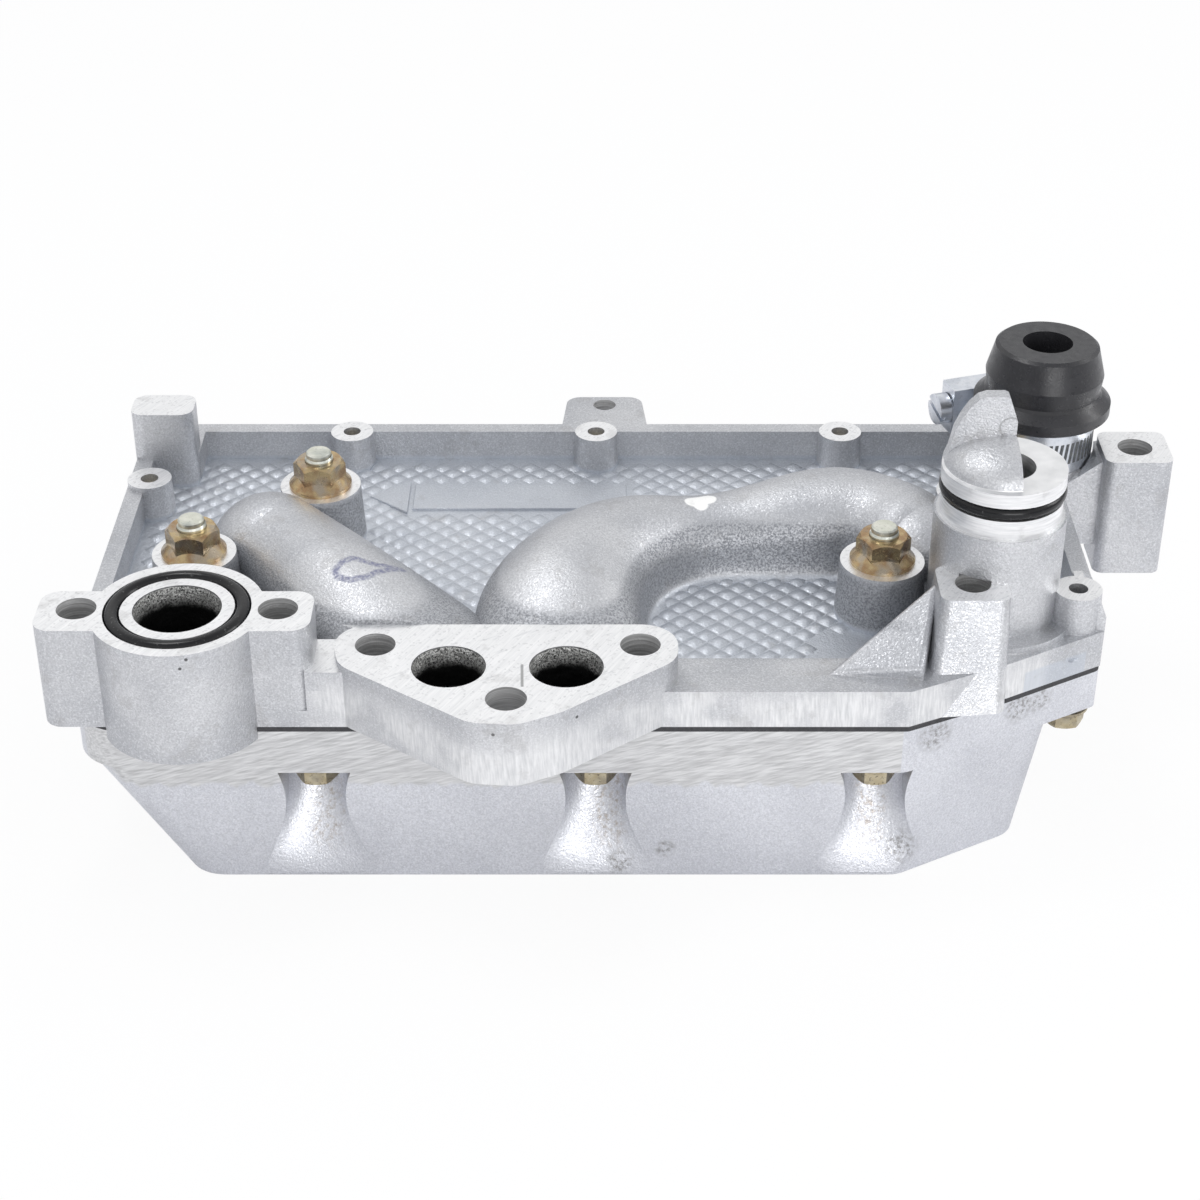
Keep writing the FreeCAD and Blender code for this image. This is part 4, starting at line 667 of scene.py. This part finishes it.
def make_thread(name, x, y):
    """One helical ridge round a stud, fading out at both ends."""
    total = int((THREAD_HIGH - THREAD_LOW) / THREAD_PITCH * THREAD_STEPS)
    points, faces = [], []
    for i in range(total + 1):
        angle = 2 * math.pi * i / THREAD_STEPS
        z = THREAD_LOW + THREAD_PITCH * i / THREAD_STEPS
        fade = min(1.0, (i + 1) / THREAD_STEPS * 2, (total - i + 1) / THREAD_STEPS * 2)
        root, crest = THREAD_RADIUS - SEAT, THREAD_RADIUS + THREAD_DEPTH * fade
        for reach, lift in ((root, -THREAD_FOOT), (crest, 0.0), (root, THREAD_FOOT)):
            points.append((x + reach * math.cos(angle), y + reach * math.sin(angle), z + lift))
        if i:
            a, b = 3 * (i - 1), 3 * i
            faces.append((a, b, b + 1, a + 1))
            faces.append((a + 1, b + 1, b + 2, a + 2))
    piece(name, points, faces, SLOT_MATERIALS["stud"], smooth=False)


LINER_AROUND, LINER_UP = 72, 14
LINER_GAP = 0.12
LINER_LUMPS = 0.55
LINER_BELOW_MOUTH = 0.3
OIL_LINER_LOW, WATER_LINER_LOW = 56.2, 58.0


def make_bore_liner(name, place, radius, levels, seed, material):
    """A rough cast sleeve that stands just inside a bore, smooth at its mouth; it carries the
    bore's painted shade and painted glints.
    """
    x, y = place
    low, high = levels[0], levels[1] - LINER_BELOW_MOUTH
    points, faces = [], []
    for j in range(LINER_UP + 1):
        z = low + (high - low) * j / LINER_UP
        calm = min(1.0, (LINER_UP - j) / 2.5)
        for k in range(LINER_AROUND):
            angle = 2 * math.pi * k / LINER_AROUND
            spot = Vector((math.cos(angle) * 3.4, math.sin(angle) * 3.4 + seed, z * 0.32))
            lump = LINER_LUMPS * noise.fractal(spot, 1.0, 2.0, 4) * calm + 0.25
            reach = radius - LINER_GAP - (max(0.0, lump) if j < LINER_UP else 0.0)
            points.append((x + reach * math.cos(angle), y + reach * math.sin(angle), z))
            if j < LINER_UP:
                a, b = j * LINER_AROUND + k, j * LINER_AROUND + (k + 1) % LINER_AROUND
                faces.append((a, a + LINER_AROUND, b + LINER_AROUND, b))
    piece(name, points, faces, material)


SLOT_COUNT = 34
SLOT_FIRST, SLOT_STEP = -100, 6.2
SLOT_RADIUS = 15.83
SLOT_HALF_WIDTH, SLOT_LEAN = 0.5, 0.35
SLOT_LOW, SLOT_HIGH = 75.6, 82.2


def make_clamp_slots():
    """Dark slots pressed through the hose clamp's band."""
    points, faces = [], []
    for k in range(SLOT_COUNT):
        angle = math.radians(SLOT_FIRST + k * SLOT_STEP)
        for side, end in ((-1, -1), (1, -1), (1, 1), (-1, 1)):
            turn = angle + (side * SLOT_HALF_WIDTH + end * SLOT_LEAN) / SLOT_RADIUS
            points.append((BOOT_AXIS[0] + SLOT_RADIUS * math.cos(turn),
                           BOOT_AXIS[1] + SLOT_RADIUS * math.sin(turn),
                           SLOT_HIGH if end > 0 else SLOT_LOW))
        faces.append(tuple(range(len(points) - 4, len(points))))
    piece("clamp_band_slots", points, faces, SHADOW_FINISH, smooth=False)


make_floor_relief()
make_plate("floor_panel", PANEL)
make_plate("floor_panel_head", PANEL_HEAD)
for number, stud in enumerate(STUDS, start=1):
    make_thread("stud_thread_%d" % number, *stud)
for number, bore in enumerate(OIL_BORES, start=1):
    make_bore_liner("oil_bore_liner_%d" % number, bore, OIL_BORE_RADIUS,
                    (OIL_LINER_LOW, FLANGE_TOP), number * 3.7, OIL_BORE_SHADE_AND_GLINTS)
make_bore_liner("water_bore_liner", WATER_BORE, WATER_BORE_RADIUS,
                (WATER_LINER_LOW, MOUNT_TOP), 1.9, WATER_BORE_SHADE_AND_GLINTS)
make_clamp_slots()


# Stage

FLOOR_REACH = 6.0
FLOOR_DROP = 0.0002
FLOOR_COLOR = (0.93, 0.93, 0.94, 1)
FLOOR_ROUGHNESS = 0.9
# Share of the floor's tone that is plain white where the camera sees it
FLOOR_GLOW = 0.9
WHITE = (1, 1, 1, 1)
# Heights of the studio's sky, as the sine of the angle above the horizon, and its tone there
SKY = [(0.05, (0.36, 0.37, 0.40, 1)), (0.5, WHITE), (1.0, (0.55, 0.56, 0.59, 1))]
SKY_STRENGTH = 1.08


def make_stage():
    """A pale floor that is nearly white to the camera and still takes a soft shadow."""
    mesh = bpy.data.meshes.new("studio_floor")
    reach = FLOOR_REACH
    corners = [(-reach, -reach, 0), (reach, -reach, 0), (reach, reach, 0), (-reach, reach, 0)]
    mesh.from_pydata(corners, [], [(0, 1, 2, 3)])
    floor = bpy.data.objects.new("studio_floor", mesh)
    bpy.context.scene.collection.objects.link(floor)
    floor.location.z = CAD_BOX[0][2] - FLOOR_DROP
    g = Graph("studio_floor_finish")
    g.link(FLOOR_COLOR, g.shader.inputs["Base Color"])
    g.link(FLOOR_ROUGHNESS, g.shader.inputs["Roughness"])
    glow = g.add("ShaderNodeEmission")
    g.link(WHITE, glow.inputs["Color"])
    path = g.add("ShaderNodeLightPath")
    seen = g.either(path.outputs["Is Camera Ray"], path.outputs["Is Transmission Ray"])
    blend = g.add("ShaderNodeMixShader")
    g.link(g.times(seen, FLOOR_GLOW), blend.inputs[0])
    g.link(g.shader.outputs[0], blend.inputs[1])
    g.link(glow.outputs[0], blend.inputs[2])
    g.link(blend.outputs[0], g.tree.nodes["Material Output"].inputs["Surface"])
    mesh.materials.append(g.material)


def make_world():
    """A pale studio: bright half way up, dimmer at the horizon, white where the camera sees it."""
    world = bpy.data.worlds.new("studio")
    world.use_nodes = True
    bpy.context.scene.world = world
    tree = world.node_tree
    back = tree.nodes["Background"]
    split = tree.nodes.new("ShaderNodeSeparateXYZ")
    ramp = tree.nodes.new("ShaderNodeValToRGB")
    (low, low_tone), (middle, middle_tone), (high, high_tone) = SKY
    horizon, top = ramp.color_ramp.elements
    horizon.position, horizon.color = low, low_tone
    top.position, top.color = high, high_tone
    ramp.color_ramp.elements.new(middle).color = middle_tone
    tree.links.new(tree.nodes.new("ShaderNodeTexCoord").outputs["Generated"], split.inputs[0])
    tree.links.new(split.outputs["Z"], ramp.inputs[0])
    path = tree.nodes.new("ShaderNodeLightPath")
    mixed = tree.nodes.new("ShaderNodeMix")
    mixed.data_type = "RGBA"
    mixed.inputs[COLOR_B].default_value = WHITE
    tree.links.new(path.outputs["Is Camera Ray"], mixed.inputs[0])
    tree.links.new(ramp.outputs[0], mixed.inputs[COLOR_A])
    tree.links.new(mixed.outputs[COLOR_OUT], back.inputs["Color"])
    back.inputs["Strength"].default_value = SKY_STRENGTH


def make_lamp(name, place, target, size, power):
    data = bpy.data.lights.new(name, "AREA")
    data.shape = "RECTANGLE"
    data.size, data.size_y = size
    data.energy = power
    lamp = bpy.data.objects.new(name, data)
    lamp.location = place
    aim = Vector(target) - Vector(place)
    lamp.rotation_euler = aim.to_track_quat("-Z", "Y").to_euler()
    bpy.context.scene.collection.objects.link(lamp)


def make_camera():
    data = bpy.data.cameras.new("camera")
    data.sensor_width = 36.0
    data.sensor_fit = "HORIZONTAL"
    data.lens = 71.04
    camera = bpy.data.objects.new("camera", data)
    camera.location = (0, -0.57479, 0.40402)
    camera.rotation_euler = (math.radians(58), 0, 0)
    bpy.context.scene.collection.objects.link(camera)
    bpy.context.scene.camera = camera


make_stage()
make_world()
make_lamp("key", (-0.25, 0.15, 0.95), (0, 0, 0.05), (0.35, 0.25), 1.5)
make_lamp("front", (0.3, -1.0, 0.3), (0, 0, 0.03), (0.6, 0.3), 2.7)
make_lamp("right", (0.9, 0.1, 0.5), (0.05, 0, 0.05), (0.3, 0.4), 1.6)
make_camera()

bpy.context.scene.view_settings.view_transform = "Standard"
